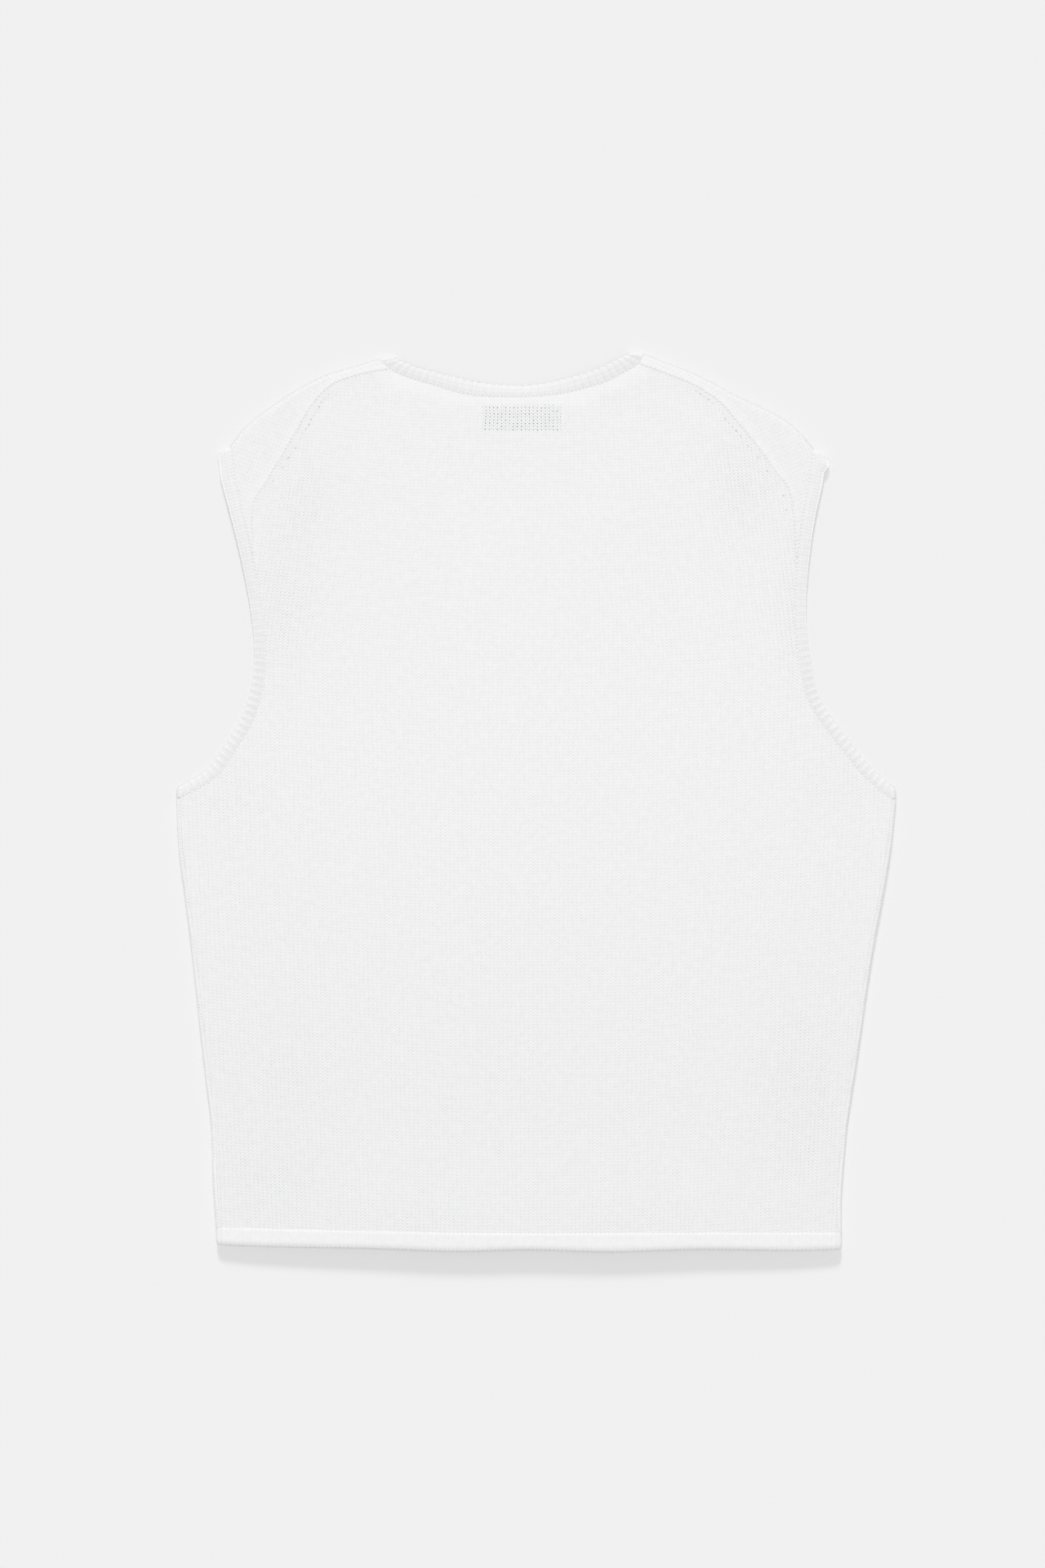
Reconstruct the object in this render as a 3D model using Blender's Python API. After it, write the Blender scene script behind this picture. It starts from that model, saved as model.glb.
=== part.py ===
"""Sweater vest in plain knit, laid flat on a surface with its back up and its neck towards +Y.

The garment lies in two layers: the front panel on the surface, the back panel on it. The front laps over both
shoulders and turns a little way round both sides, so its seams lie on the back. Ribbed bands edge the neck and
the armholes, and a tubular band ends each panel at the hem.

Sizes are in millimetres until the meshes are made, which are in metres. X = 0 is the middle of the garment, +Y
runs to the neck, and Z = 0 is the surface that it lies on.
"""
import bpy
import numpy as np

MM = 0.001

# Cloth
CLOTH = 2.2              # thickness of the panels and trims
LAYERS_APART = 0.6       # air between the lower and the upper layer
SEAM = 0.3               # gap between two pieces at a seam
SIDE_TURN = 0.8          # front cloth that lies on the back beside each side fold
OUTSIDE = CLOTH + LAYERS_APART / 2   # outer face to the middle height between the layers
INSIDE = LAYERS_APART / 2            # inner face to that height
FOLD_STEPS = 4           # faces round the half turn of a fold

# Ribbed trims
RIB_PITCH = 5.5
RIB_HEIGHT = 0.4
ARMHOLE_TRIM = 8.0
ARMHOLE_TRIM_AT_TIP = 11.0
ARMHOLE_TRIM_AT_SIDE = 8.6   # where it turns round the side at the underarm
NECK_TRIM_AT_SHOULDER = 10.5  # along the outline, where it turns over the shoulder
V_TRIM = 9.0
V_MITRE = 1.75           # length of the mitre at the point of the V, in trim widths
V_BOW = 12.0             # how far each side of the V bends away from a straight line

# Hem band
HEM_CLOTH = 3.0
HEM_OUTSIDE = HEM_CLOTH + LAYERS_APART / 2
HEM_ARCH = 3.0           # height by which the back hem stands off the front hem in the middle
HEM_RAMP = 70.0          # length of back panel that rises to meet its hem
HEM_STEPS = 20

# Blank neck label, under the back panel
LABEL_SIZE = (60.0, 22.0, 0.7)
LABEL_MIDDLE = (-11.0, 288.0)

# Rows and columns of faces
SIDE_ROWS = (0.0, 0.03, 0.07, 0.12, 0.18, 0.26, 0.35, 0.45, 0.56, 0.67, 0.78, 0.89, 1.0)
ARMHOLE_ROWS = 24
ROWS_CROWDED = 0.45      # how much closer the armhole rows lie at the underarm, from 0 to 1
V_ROW = 14               # armhole row level with the point of the V
SEAM_ROW = 19            # armhole row where the shoulder seam ends
HALF_COLUMNS = 8         # from an armhole or a side to the neck or the middle

# The outline of each half, as (distance from the middle, height). `side` and `shoulder` are the outline itself,
# `armhole` is the opening edge of its trim between the fold at the underarm and the fold at the shoulder tip, and
# `seam` is the shoulder seam as it lies on the back, from the armhole trim to the neck.
LEFT = {
    "side": ((240.0, -320.3), (242.4, -290.4), (244.2, -242.6), (250.3, -190.0), (260.7, -94.5), (268.1, -38.8),
             (269.9, 2.0)),
    "armhole": ((267.4, 10.9), (260.1, 15.0), (245.4, 24.2), (235.6, 37.7), (220.9, 61.5), (213.0, 86.6),
                (211.1, 114.2), (216.0, 154.0), (224.0, 192.5), (230.7, 218.8), (238.5, 250.0)),
    "shoulder": ((239.8, 260.6), (229.5, 266.0), (216.0, 282.5), (187.3, 303.3), (161.0, 318.0), (137.7, 325.2),
                 (117.0, 331.8), (106.5, 333.6)),
    "seam": ((222.2, 201.1), (208.1, 229.8), (194.0, 253.7), (176.9, 282.5), (160.3, 307.5), (137.0, 318.6),
             (111.3, 324.0)),
}
RIGHT = {
    "side": ((228.9, -324.3), (228.9, -295.2), (233.8, -237.7), (240.5, -194.9), (251.5, -118.4), (264.4, -46.8),
             (269.9, 0.5)),
    "armhole": ((267.4, 10.2), (254.6, 21.2), (244.8, 31.6), (227.1, 54.2), (211.1, 78.7), (204.4, 110.5),
                (202.3, 131.9), (202.6, 158.2), (206.9, 199.2), (213.6, 234.1), (216.9, 249.0)),
    "shoulder": ((218.3, 258.6), (206.0, 265.5), (190.3, 283.2), (165.2, 296.8), (141.4, 308.0), (123.6, 318.2),
                 (99.8, 327.4), (80.2, 335.6), (70.0, 336.9)),
    "seam": ((200.1, 208.9), (190.3, 229.8), (171.4, 258.6), (149.9, 285.4), (130.0, 305.5), (104.0, 318.0),
             (77.8, 327.6)),
}
V_POINT = (3.0, 155.8)   # x, y of the opening edge

# Back neck trim from left to right: its opening edge and the edge that is linked to the panel
BACK_NECK = (  # open x, open y, linked x, linked y
    (-102.5, 329.4, -111.0, 324.3),
    (-96.0, 327.2, -103.0, 320.2),
    (-89.0, 324.3, -94.0, 316.6),
    (-75.0, 320.8, -78.0, 311.9),
    (-60.0, 317.2, -62.0, 307.2),
    (-45.0, 313.9, -46.5, 304.0),
    (-28.0, 311.9, -28.5, 303.1),
    (-10.0, 311.2, -10.0, 303.0),
    (8.0, 313.2, 9.0, 304.0),
    (22.0, 316.4, 25.0, 306.4),
    (36.0, 320.2, 40.4, 310.4),
    (47.0, 324.0, 52.5, 314.4),
    (56.0, 328.0, 62.5, 319.3),
    (62.5, 331.4, 70.5, 324.0),
    (66.5, 333.2, 77.5, 327.8),
)

# Hem band across the garment: its lower edge and the edge that is joined to the panel
HEM = (  # x, lower y, upper y
    (-240.0, -331.8, -320.0),
    (-200.0, -333.2, -321.0),
    (-120.0, -334.6, -322.7),
    (-60.0, -336.6, -324.0),
    (-6.0, -335.4, -324.2),
    (55.0, -336.9, -324.2),
    (124.0, -335.2, -323.8),
    (187.0, -336.2, -324.0),
    (229.0, -335.4, -324.0),
)

# Cross-sections of the bands: across is 0 at the opening edge and 1 at the joined edge, depth is 0 at the outer
# face and 1 at the inner face. A rib raises the points of depth 0.
TRIM_SECTION = ((0.0, 0.35), (0.25, 0.0), (0.75, 0.0), (1.0, 0.25), (1.0, 1.0), (0.0, 1.0))  # across, depth
HEM_SECTION = ((0.0, 0.55), (0.12, 0.12), (0.35, 0.0), (0.78, 0.0), (1.0, 0.3), (1.0, 0.9), (0.5, 1.0),
               (0.1, 0.9))  # across, depth

# Colours (linear) and roughness
WHITE_KNIT = ((0.84, 0.835, 0.825), 0.95)
LABEL_WEAVE = ((0.05, 0.065, 0.10), 0.8)


# ---- curves in the plane ------------------------------------------------------------------------------------

def dense_curve(points):
    """Catmull-Rom curve through hand-picked points, as 24 short chords between each two of them."""
    points = np.asarray(points, float)
    ends = 2 * points[[0, -1]] - points[[1, -2]]
    knots = np.vstack([ends[:1], points, ends[1:]])
    before, start, stop, after = (knots[k:len(knots) - 3 + k, None] for k in range(4))
    t = np.linspace(0, 1, 24, endpoint=False)[None, :, None]
    curve = 0.5 * (2 * start + (stop - before) * t + (2 * before - 5 * start + 4 * stop - after) * t ** 2
                   + (3 * start - before - 3 * stop + after) * t ** 3)
    return np.vstack([curve.reshape(-1, 2), points[-1:]])


def distances(line):
    """Length along a line from its first point to each of its points."""
    return np.concatenate([[0], np.cumsum(np.linalg.norm(np.diff(line, axis=0), axis=1))])


def read_at(wanted, at, values):
    """Values given at distances `at` along a line, read at the wanted distances."""
    return np.column_stack([np.interp(wanted, at, values[:, k]) for k in (0, 1)])


def read_line(line, wanted):
    """Points of a line at the wanted distances along it."""
    return read_at(wanted, distances(line), line)


def normals(line):
    """Unit normals to the left of a line, at each of its points."""
    along = np.gradient(line, axis=0)
    along /= np.linalg.norm(along, axis=1, keepdims=True)
    return np.column_stack([-along[:, 1], along[:, 0]])


def mix(a, b, t):
    """Points between a and b, at fractions t along a new first axis."""
    t = np.asarray(t, float).reshape((-1,) + (1,) * np.ndim(a))
    return (1 - t) * a + t * b


def coons(left, right, bottom, top, share=None):
    """Coons patch: rows between two sides, bent to meet the bottom and the top line. share holds the place of
    each column from 0 to 1, or else they are evenly spaced."""
    u = (np.linspace(0, 1, len(bottom)) if share is None else share)[None, :, None]
    v = np.linspace(0, 1, len(left))[:, None, None]
    sides = (1 - u) * left[:, None] + u * right[:, None]
    ends = (1 - v) * bottom[None] + v * top[None]
    corners = (1 - v) * ((1 - u) * bottom[0] + u * bottom[-1]) + v * ((1 - u) * top[0] + u * top[-1])
    return sides + ends - corners


# ---- cloth, lying in two layers and folded between them -----------------------------------------------------

def lift(plan, turn, outward, radius, middle=OUTSIDE):
    """A point of cloth in space. turn is 0 on the lower layer and pi on the upper one, and in between the cloth
    bends outwards round a line at the middle height, at this radius from it."""
    flat = plan + outward * (radius * np.sin(turn))[..., None]
    return np.dstack([flat, middle - radius * np.cos(turn)])


def patch(plan, turn=0.0, outward=None, rise=0.0):
    """Outer and inner face of a grid of cloth."""
    turn = np.broadcast_to(np.asarray(turn, float), plan.shape[:2])
    outward = np.zeros_like(plan) if outward is None else np.broadcast_to(outward, plan.shape)
    faces = [lift(plan, turn, outward, np.full(plan.shape[:2], radius)) for radius in (OUTSIDE, INSIDE)]
    for face in faces:
        face[..., 2] += rise
    return faces


def add_solid(name, points, faces, colour, roughness):
    """One closed object with its faces outwards, from points in millimetres."""
    points = np.asarray(points) * MM
    first, second, third = (points[[face[k] for face in faces]] for k in range(3))
    if np.einsum("ij,ij->", first, np.cross(second, third)) < 0:
        faces = [face[::-1] for face in faces]
    mesh = bpy.data.meshes.new(name)
    mesh.from_pydata(points.tolist(), [], [[int(k) for k in face] for face in faces])
    mesh.shade_smooth()
    mesh.set_sharp_from_angle(angle=np.radians(50))
    material = bpy.data.materials.new(name)
    material.use_nodes = True
    shader = material.node_tree.nodes["Principled BSDF"]
    shader.inputs["Base Color"].default_value = (*colour, 1.0)
    shader.inputs["Roughness"].default_value = roughness
    mesh.materials.append(material)
    bpy.context.collection.objects.link(bpy.data.objects.new(name, mesh))


def add_cloth(name, patches):
    """One panel from patches that share their edge points: outer faces, inner faces and a wall round the rim."""
    outer, inner, quads = [], [], []
    for outside, inside in patches:
        rows, columns = outside.shape[:2]
        first = sum(len(part) for part in outer)
        index = first + np.arange(rows * columns).reshape(rows, columns)
        corners = index[:-1, :-1], index[:-1, 1:], index[1:, 1:], index[1:, :-1]
        quads.append(np.stack(corners, -1).reshape(-1, 4))
        outer.append(outside.reshape(-1, 3))
        inner.append(inside.reshape(-1, 3))
    outer, inner, quads = np.vstack(outer), np.vstack(inner), np.vstack(quads)
    _, keep, same = np.unique(np.round(outer, 3), axis=0, return_index=True, return_inverse=True)
    quads = same.reshape(-1)[quads]
    edges = {(a, b) for quad in quads.tolist() for a, b in zip(quad, quad[1:] + quad[:1])}
    rim = [(a, b) for a, b in sorted(edges) if (b, a) not in edges]
    count = len(keep)
    faces = [list(quad) for quad in quads] + [[k + count for k in quad[::-1]] for quad in quads]
    faces += [[b, a, a + count, b + count] for a, b in rim]
    add_solid(name, np.vstack([outer[keep], inner[keep]]), faces, *WHITE_KNIT)


def add_band(name, stations, section, closed=True, outside=OUTSIDE, cloth=CLOTH, arch=None):
    """A band of cloth from stations that each hold its open edge, joined edge, their outward directions, its turn
    and how far a rib is raised there."""
    open_edge, joined, open_out, joined_out, turn, raised = (np.array(part, float) for part in zip(*stations))
    across, depth = np.array(section).T
    share = across[None, :, None]
    plan = open_edge[:, None] * (1 - share) + joined[:, None] * share
    outward = open_out[:, None] * (1 - share) + joined_out[:, None] * share
    outward /= np.maximum(np.linalg.norm(outward, axis=2, keepdims=True), 1e-9)
    radius = outside - depth[None] * cloth + np.where(depth == 0, 1, 0)[None] * raised[:, None]
    points = lift(plan, np.broadcast_to(turn[:, None], radius.shape), outward, radius, outside)
    if arch is not None:
        points[..., 2] += arch(points[..., 0])
    count, size = radius.shape
    index = np.arange(count * size).reshape(count, size)
    here, there = (index, np.roll(index, -1, 0)) if closed else (index[:-1], index[1:])
    faces = np.stack([here, np.roll(here, -1, 1), np.roll(there, -1, 1), there], -1).reshape(-1, 4).tolist()
    if not closed:
        faces += [index[0][::-1].tolist(), index[-1].tolist()]
    add_solid(name, points.reshape(-1, 3), faces, *WHITE_KNIT)


def flat_run(open_edge, joined, turn, pitch=None):
    """Stations of a band that lies flat. With a pitch they are refined between the given points, and every other
    one is raised as a rib."""
    if pitch is None:
        raised = np.zeros(len(open_edge))
    else:
        at = distances(joined)
        count = 2 * int(round(at[-1] / pitch)) + 1
        wanted = np.linspace(0, at[-1], count)
        open_edge, joined = read_at(wanted, at, open_edge), read_at(wanted, at, joined)
        raised = RIB_HEIGHT * (np.arange(count) % 2)
    still = np.zeros(2)
    return [(a, b, still, still, turn, rib) for a, b, rib in zip(open_edge, joined, raised)]


def fold(open_end, joined_end, open_out, joined_out, up):
    """Stations round a half turn, from the lower to the upper layer or back."""
    steps = np.arange(1, FOLD_STEPS) * np.pi / FOLD_STEPS
    return [(open_end, joined_end, open_out, joined_out, turn, 0.0) for turn in (steps if up else steps[::-1])]


# ---- the lines that the pieces share ------------------------------------------------------------------------

def hem_line(x, column):
    """Height of the lower (1) or upper (2) edge of the hem band at x."""
    line = dense_curve(np.array(HEM)[:, (0, column)])
    return np.interp(x, line[:, 0], line[:, 1])


def hem_lift(x):
    """How far the back hem stands up at x, nothing at its two ends."""
    left, right = HEM[0][0], HEM[-1][0]
    along = (2 * x - left - right) / (right - left)
    return HEM_ARCH * np.clip(1 - along ** 2, 0, 1) ** 0.75


def side_lines(points, sign):
    """Line that the front folds about at one side, and its outward directions."""
    outline = dense_curve(points)
    outline = read_line(outline, np.array(SIDE_ROWS) * distances(outline)[-1])
    outward = -normals(outline)
    outward[-1] = (1, 0)
    side_fold = outline - outward * OUTSIDE
    side_fold[0][1] = hem_line(sign * side_fold[0][0], 2) + SEAM
    return side_fold, outward


def shoulder_lines(points):
    """Line that the cloth folds about at one shoulder, and its outward directions. It has two stations for the
    armhole trim, one for each column of the panel, and two for the neck trim."""
    outline = dense_curve(points)
    reach = distances(outline)[-1]
    trims = (ARMHOLE_TRIM_AT_TIP, reach - NECK_TRIM_AT_SHOULDER)
    columns = np.linspace(trims[0] + SEAM, trims[1] - SEAM, HALF_COLUMNS + 1)
    stations = np.concatenate([[0, trims[0]], columns, [trims[1], reach]])
    outward = read_at(stations, distances(outline), -normals(outline))
    outward /= np.linalg.norm(outward, axis=1, keepdims=True)
    return read_line(outline, stations) - outward * OUTSIDE, outward


def armhole_lines(points, side_end, shoulder_fold):
    """Opening edge and joined edge of one armhole trim, and the edge of the panels beside it."""
    edge = dense_curve(points + (tuple(shoulder_fold[0]),))
    spread = np.linspace(0, 1, ARMHOLE_ROWS + 1)
    edge = read_line(edge, distances(edge)[-1] * ((1 - ROWS_CROWDED) * spread + ROWS_CROWDED * spread ** 2))
    link = edge + normals(edge) * (ARMHOLE_TRIM + (ARMHOLE_TRIM_AT_TIP - ARMHOLE_TRIM) * spread[:, None] ** 4)
    link[0] = side_end[0], edge[0][1] - ARMHOLE_TRIM_AT_SIDE
    link[-1] = shoulder_fold[1]
    panel = link + normals(link) * SEAM
    panel[0] = link[0] - (0, SEAM)
    panel[-1] = shoulder_fold[2]
    return edge, link, panel


def v_lines(shoulder_fold, sign):
    """Opening edge and joined edge of one side of the V, and the front's edge beside it, from the point up."""
    point = np.array([sign * V_POINT[0], V_POINT[1]])
    edge = mix(shoulder_fold[-1], point, np.linspace(1, 0, ARMHOLE_ROWS - V_ROW + 1))
    edge = edge - normals(edge) * V_BOW * np.sin(np.linspace(0, np.pi, len(edge)))[:, None]
    link = edge - normals(edge) * V_TRIM
    link[0] = point - (0, V_TRIM * V_MITRE)
    link[-1] = shoulder_fold[-2]
    panel = link - normals(link) * SEAM
    panel[0] = link[0] - (0, SEAM * V_MITRE)
    panel[-1] = shoulder_fold[-3]
    return edge, link, panel


def seam_lines(points, armhole):
    """Shoulder seam on the back: the edge of the back panel, and that of the front beside it."""
    seam = dense_curve(points)
    seam = read_line(seam, np.linspace(0, distances(seam)[-1], HALF_COLUMNS + 1))
    seam[0] = armhole[SEAM_ROW]
    lap = seam - normals(seam) * SEAM
    along = armhole[SEAM_ROW + 1] - armhole[SEAM_ROW]
    lap[0] = armhole[SEAM_ROW] + along * SEAM / np.linalg.norm(along)
    return seam, lap


def lines_of(table, sign):
    """Every line of one half, as (distance from the middle, height)."""
    half = {}
    half["side_fold"], half["side_out"] = side_lines(table["side"], sign)
    half["shoulder_fold"], half["shoulder_out"] = shoulder_lines(table["shoulder"])
    half["edge"], half["link"], half["armhole"] = armhole_lines(table["armhole"], half["side_fold"][-1],
                                                                half["shoulder_fold"])
    half["side_fold"][-1] = half["armhole"][0]
    half["v_edge"], half["v_link"], half["v_panel"] = v_lines(half["shoulder_fold"], sign)
    half["seam"], half["lap"] = seam_lines(table["seam"], half["armhole"])
    return half


def placed(grid, sign):
    """A grid of one half in the garment's own x and y."""
    return np.asarray(grid) * (sign, 1)


def ordered(grid, sign):
    """A grid of one half whose columns run inwards, with its columns from left to right."""
    return grid if sign < 0 else grid[:, ::-1]


LEFT_LINES = lines_of(LEFT, -1)
RIGHT_LINES = lines_of(RIGHT, 1)
HALVES = ((-1, LEFT_LINES), (1, RIGHT_LINES))


def meet_hem(grid, rows=5):
    """Bend the lowest rows of a panel to the hem band, fading out over these rows."""
    shift = hem_line(grid[0, :, 0], 2) + SEAM - grid[0, :, 1]
    grid[:rows, :, 1] += np.linspace(1, 0, rows)[:, None] * shift
    return grid


# ---- the pieces ---------------------------------------------------------------------------------------------

def add_front_panel():
    """Front: body to the point of the V, two shoulders that lap over to the seams, and a turn round each side."""
    left, right = (placed(np.vstack([half["side_fold"], half["armhole"][1:V_ROW + 1]]), sign)
                   for sign, half in HALVES)
    v_foot = placed(LEFT_LINES["v_panel"][0], -1)
    middle = (left + right) / 2
    middle += (v_foot - middle[-1]) * np.linspace(0, 1, len(middle))[:, None] ** 2
    columns = np.linspace(0, 1, HALF_COLUMNS + 1)
    body = np.concatenate([mix(left, middle, columns), mix(middle, right, columns)[1:]]).swapaxes(0, 1)
    patches = [patch(meet_hem(body))]

    for sign, half in HALVES:
        foot = mix(half["armhole"][V_ROW], half["v_panel"][0], np.linspace(0, 1, HALF_COLUMNS + 1))
        crest = half["shoulder_fold"][2:-2]
        rising = coons(half["armhole"][V_ROW:], half["v_panel"], foot, crest)
        neck_side = mix(crest[-1], half["lap"][-1], np.linspace(0, 1, ARMHOLE_ROWS - SEAM_ROW + 1))
        arm_side = half["armhole"][:SEAM_ROW - 1:-1].copy()
        arm_side[-1] = half["lap"][0]
        falling = coons(arm_side, neck_side, crest, half["lap"])
        bend = np.repeat(crest[None], FOLD_STEPS - 1, 0)
        turn = np.concatenate([np.zeros(len(rising)), np.arange(1, FOLD_STEPS) * np.pi / FOLD_STEPS,
                               np.full(len(falling), np.pi)])[:, None]
        plan = placed(np.concatenate([rising, bend, falling]), sign)
        outward = placed(half["shoulder_out"][2:-2], sign)
        patches.append(patch(ordered(plan, sign), turn, ordered(outward[None], sign)))

        crease = half["side_fold"]
        steps = np.concatenate([[np.pi], np.arange(FOLD_STEPS, -1, -1) * np.pi / FOLD_STEPS])
        across = np.repeat(crease[:, None], len(steps), 1)
        across[:, 0, 0] -= SIDE_TURN
        outward = np.repeat(half["side_out"][:, None], len(steps), 1)
        patches.append(patch(ordered(placed(across, sign), sign), ordered(steps[None], sign),
                             ordered(placed(outward, sign), sign)))
    add_cloth("front_panel", patches)


def add_back_panel():
    """Back: rows up to the row level with the V, then rows that bend to the shoulder seams and the neck."""
    inset = SIDE_TURN + SEAM
    left, right = (placed(np.vstack([half["side_fold"] - (inset, 0), half["armhole"][1:V_ROW + 1]]), sign)
                   for sign, half in HALVES)
    neck = np.array(BACK_NECK)[:, 2:]
    neck -= normals(neck) * SEAM
    left_seam, right_seam = (placed(half["seam"], sign) for sign, half in HALVES)
    neck[0] = left_seam[-1]
    neck[-1] = right_seam[-1]
    top = np.vstack([left_seam, neck[1:-1], right_seam[::-1]])
    share = (top[:, 0] - top[0, 0]) / (top[-1, 0] - top[0, 0])
    body = meet_hem(mix(left, right, share).swapaxes(0, 1))
    left, right = (placed(half["armhole"][V_ROW:SEAM_ROW + 1], sign) for sign, half in HALVES)
    crown = coons(left, right, body[-1], top, share)
    plan = np.concatenate([body, crown[1:]])
    height = plan[..., 1] - plan[:1, :, 1]
    ramp = np.clip(1 - height / HEM_RAMP, 0, 1)
    hem_middle, panel_middle = HEM_OUTSIDE + INSIDE + HEM_CLOTH / 2, OUTSIDE + INSIDE + CLOTH / 2
    rise = ramp ** 2 * (3 - 2 * ramp) * (hem_middle - panel_middle + hem_lift(plan[..., 0]))
    add_cloth("back_panel", [patch(plan, np.pi, rise=rise)])


def add_armhole_trim(name, sign, half):
    """Band round one armhole: up the front, over the shoulder, down the back and round the underarm."""
    edge, link = (placed(half[line], sign) for line in ("edge", "link"))
    shoulder_out = placed(half["shoulder_out"], sign)
    side_out = placed(half["side_out"][-1], sign)
    stations = flat_run(edge, link, 0.0)
    stations += fold(edge[-1], link[-1], shoulder_out[0], shoulder_out[1], up=True)
    stations += flat_run(edge[::-1], link[::-1], np.pi, RIB_PITCH)
    stations += fold(edge[0], link[0], side_out, side_out, up=False)
    add_band(name, stations, TRIM_SECTION)


def add_neck_trim():
    """Band round the neck: along the back neck on the upper layer, and down and up the V on the lower one."""
    table = np.array(BACK_NECK)
    ends = [(placed(half["shoulder_fold"][-1], sign), placed(half["shoulder_fold"][-2], sign),
             placed(half["shoulder_out"][-1], sign), placed(half["shoulder_out"][-2], sign))
            for sign, half in HALVES]
    (left_open, left_joined, *left_out), (right_open, right_joined, *right_out) = ends
    open_edge = np.vstack([left_open, table[:, :2], right_open])
    joined = np.vstack([left_joined, table[:, 2:], right_joined])
    v_left, v_right = ([placed(half[line], sign) for line in ("v_edge", "v_link")] for sign, half in HALVES)
    stations = flat_run(open_edge, joined, np.pi, RIB_PITCH)
    stations += fold(right_open, right_joined, *right_out, up=False)
    stations += flat_run(v_right[0][::-1], v_right[1][::-1], 0.0)
    stations += flat_run(v_left[0][1:], v_left[1][1:], 0.0)
    stations += fold(left_open, left_joined, *left_out, up=True)
    add_band("neck_trim", stations, TRIM_SECTION)


def add_hem():
    """Two tubular bands. The front one turns round both sides with its panel, and the back one meets it there."""
    ends = []
    for sign, half in HALVES:
        x = sign * (half["side_fold"][0][0] + OUTSIDE - HEM_OUTSIDE)
        ends.append((x, placed(half["side_out"][0], sign)))
    (left, left_out), (right, right_out) = ends

    def edges(start, stop, steps):
        x = np.linspace(start, stop, steps + 1)
        return [np.column_stack([x, hem_line(x, column)]) for column in (1, 2)]

    front = flat_run(*edges(left + SIDE_TURN, left, 1), np.pi)
    front += fold(*(edge[0] for edge in edges(left, right, 1)), left_out, left_out, up=False)
    front += flat_run(*edges(left, right, HEM_STEPS), 0.0)
    front += fold(*(edge[-1] for edge in edges(left, right, 1)), right_out, right_out, up=True)
    front += flat_run(*edges(right, right - SIDE_TURN, 1), np.pi)
    add_band("hem_front", front, HEM_SECTION, closed=False, outside=HEM_OUTSIDE, cloth=HEM_CLOTH)

    inset = SIDE_TURN + SEAM
    back = flat_run(*edges(left + inset, right - inset, HEM_STEPS), np.pi)
    add_band("hem_back", back, HEM_SECTION, closed=False, outside=HEM_OUTSIDE, cloth=HEM_CLOTH, arch=hem_lift)


def add_label():
    """Blank woven label just under the back panel."""
    x, y = LABEL_MIDDLE
    length, width, thickness = LABEL_SIZE
    top = OUTSIDE + INSIDE - SEAM
    corners = [(x + dx * length / 2, y + dy * width / 2, z)
               for z in (top - thickness, top) for dx, dy in ((-1, -1), (1, -1), (1, 1), (-1, 1))]
    faces = [[3, 2, 1, 0], [4, 5, 6, 7]] + [[k, (k + 1) % 4, (k + 1) % 4 + 4, k + 4] for k in range(4)]
    add_solid("neck_label", corners, faces, *LABEL_WEAVE)


def main():
    for old in list(bpy.data.objects):
        bpy.data.objects.remove(old, do_unlink=True)
    add_back_panel()
    add_front_panel()
    add_neck_trim()
    for (sign, half), side in zip(HALVES, ("left", "right")):
        add_armhole_trim(f"armhole_trim_{side}", sign, half)
    add_hem()
    add_label()


main()
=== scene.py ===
"""Looks of the knitted sweater vest, laid flat with its back up. Laid out as a Blender add-on, and run as a
script.

Shapes are worked out in millimetres in the garment's own frame (X across, +Y to the neck, +Z up from the
surface) and put into their meshes in metres.
"""

import bpy
import numpy as np
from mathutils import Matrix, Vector


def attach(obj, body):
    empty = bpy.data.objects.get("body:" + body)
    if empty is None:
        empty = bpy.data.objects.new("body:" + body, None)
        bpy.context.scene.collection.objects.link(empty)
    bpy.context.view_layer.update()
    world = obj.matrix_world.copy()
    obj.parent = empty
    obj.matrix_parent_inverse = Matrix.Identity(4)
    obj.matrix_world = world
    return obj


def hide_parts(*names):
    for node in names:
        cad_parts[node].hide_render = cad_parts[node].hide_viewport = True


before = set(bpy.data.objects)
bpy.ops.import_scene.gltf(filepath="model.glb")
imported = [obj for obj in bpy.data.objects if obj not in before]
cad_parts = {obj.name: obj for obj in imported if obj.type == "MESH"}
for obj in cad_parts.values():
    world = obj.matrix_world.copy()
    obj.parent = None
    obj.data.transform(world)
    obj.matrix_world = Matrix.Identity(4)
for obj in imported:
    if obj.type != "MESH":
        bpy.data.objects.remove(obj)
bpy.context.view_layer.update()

bl_info = {
    "name": "Laid Sweater Vest",
    "version": (1, 0, 0),
    "blender": (4, 5, 0),
    "location": "View3D > Sidebar > Vest",
    "description": "Plain knit sweater vest laid flat, with ribbed trims, tubular hems and a blank label",
    "category": "Add Mesh",
}

MM = 0.001

# ---- the garment's lines, the same as those of its solids ------------------------------------------------

CLOTH = 2.2              # thickness of the panels and trims
LAYERS_APART = 0.6
SEAM = 0.3
SIDE_TURN = 0.8          # front cloth that lies on the back beside each side fold
OUTSIDE = CLOTH + LAYERS_APART / 2
INSIDE = LAYERS_APART / 2

ARMHOLE_TRIM = 8.0
ARMHOLE_TRIM_AT_TIP = 11.0
ARMHOLE_TRIM_AT_SIDE = 8.6
NECK_TRIM_AT_SHOULDER = 10.5
V_TRIM = 9.0
V_MITRE = 1.75
V_BOW = 12.0

HEM_CLOTH = 3.0
HEM_OUTSIDE = HEM_CLOTH + LAYERS_APART / 2
HEM_ARCH = 3.0
HEM_RAMP = 70.0
HEM_STEP = HEM_OUTSIDE + INSIDE + HEM_CLOTH / 2 - (OUTSIDE + INSIDE + CLOTH / 2)

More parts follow.
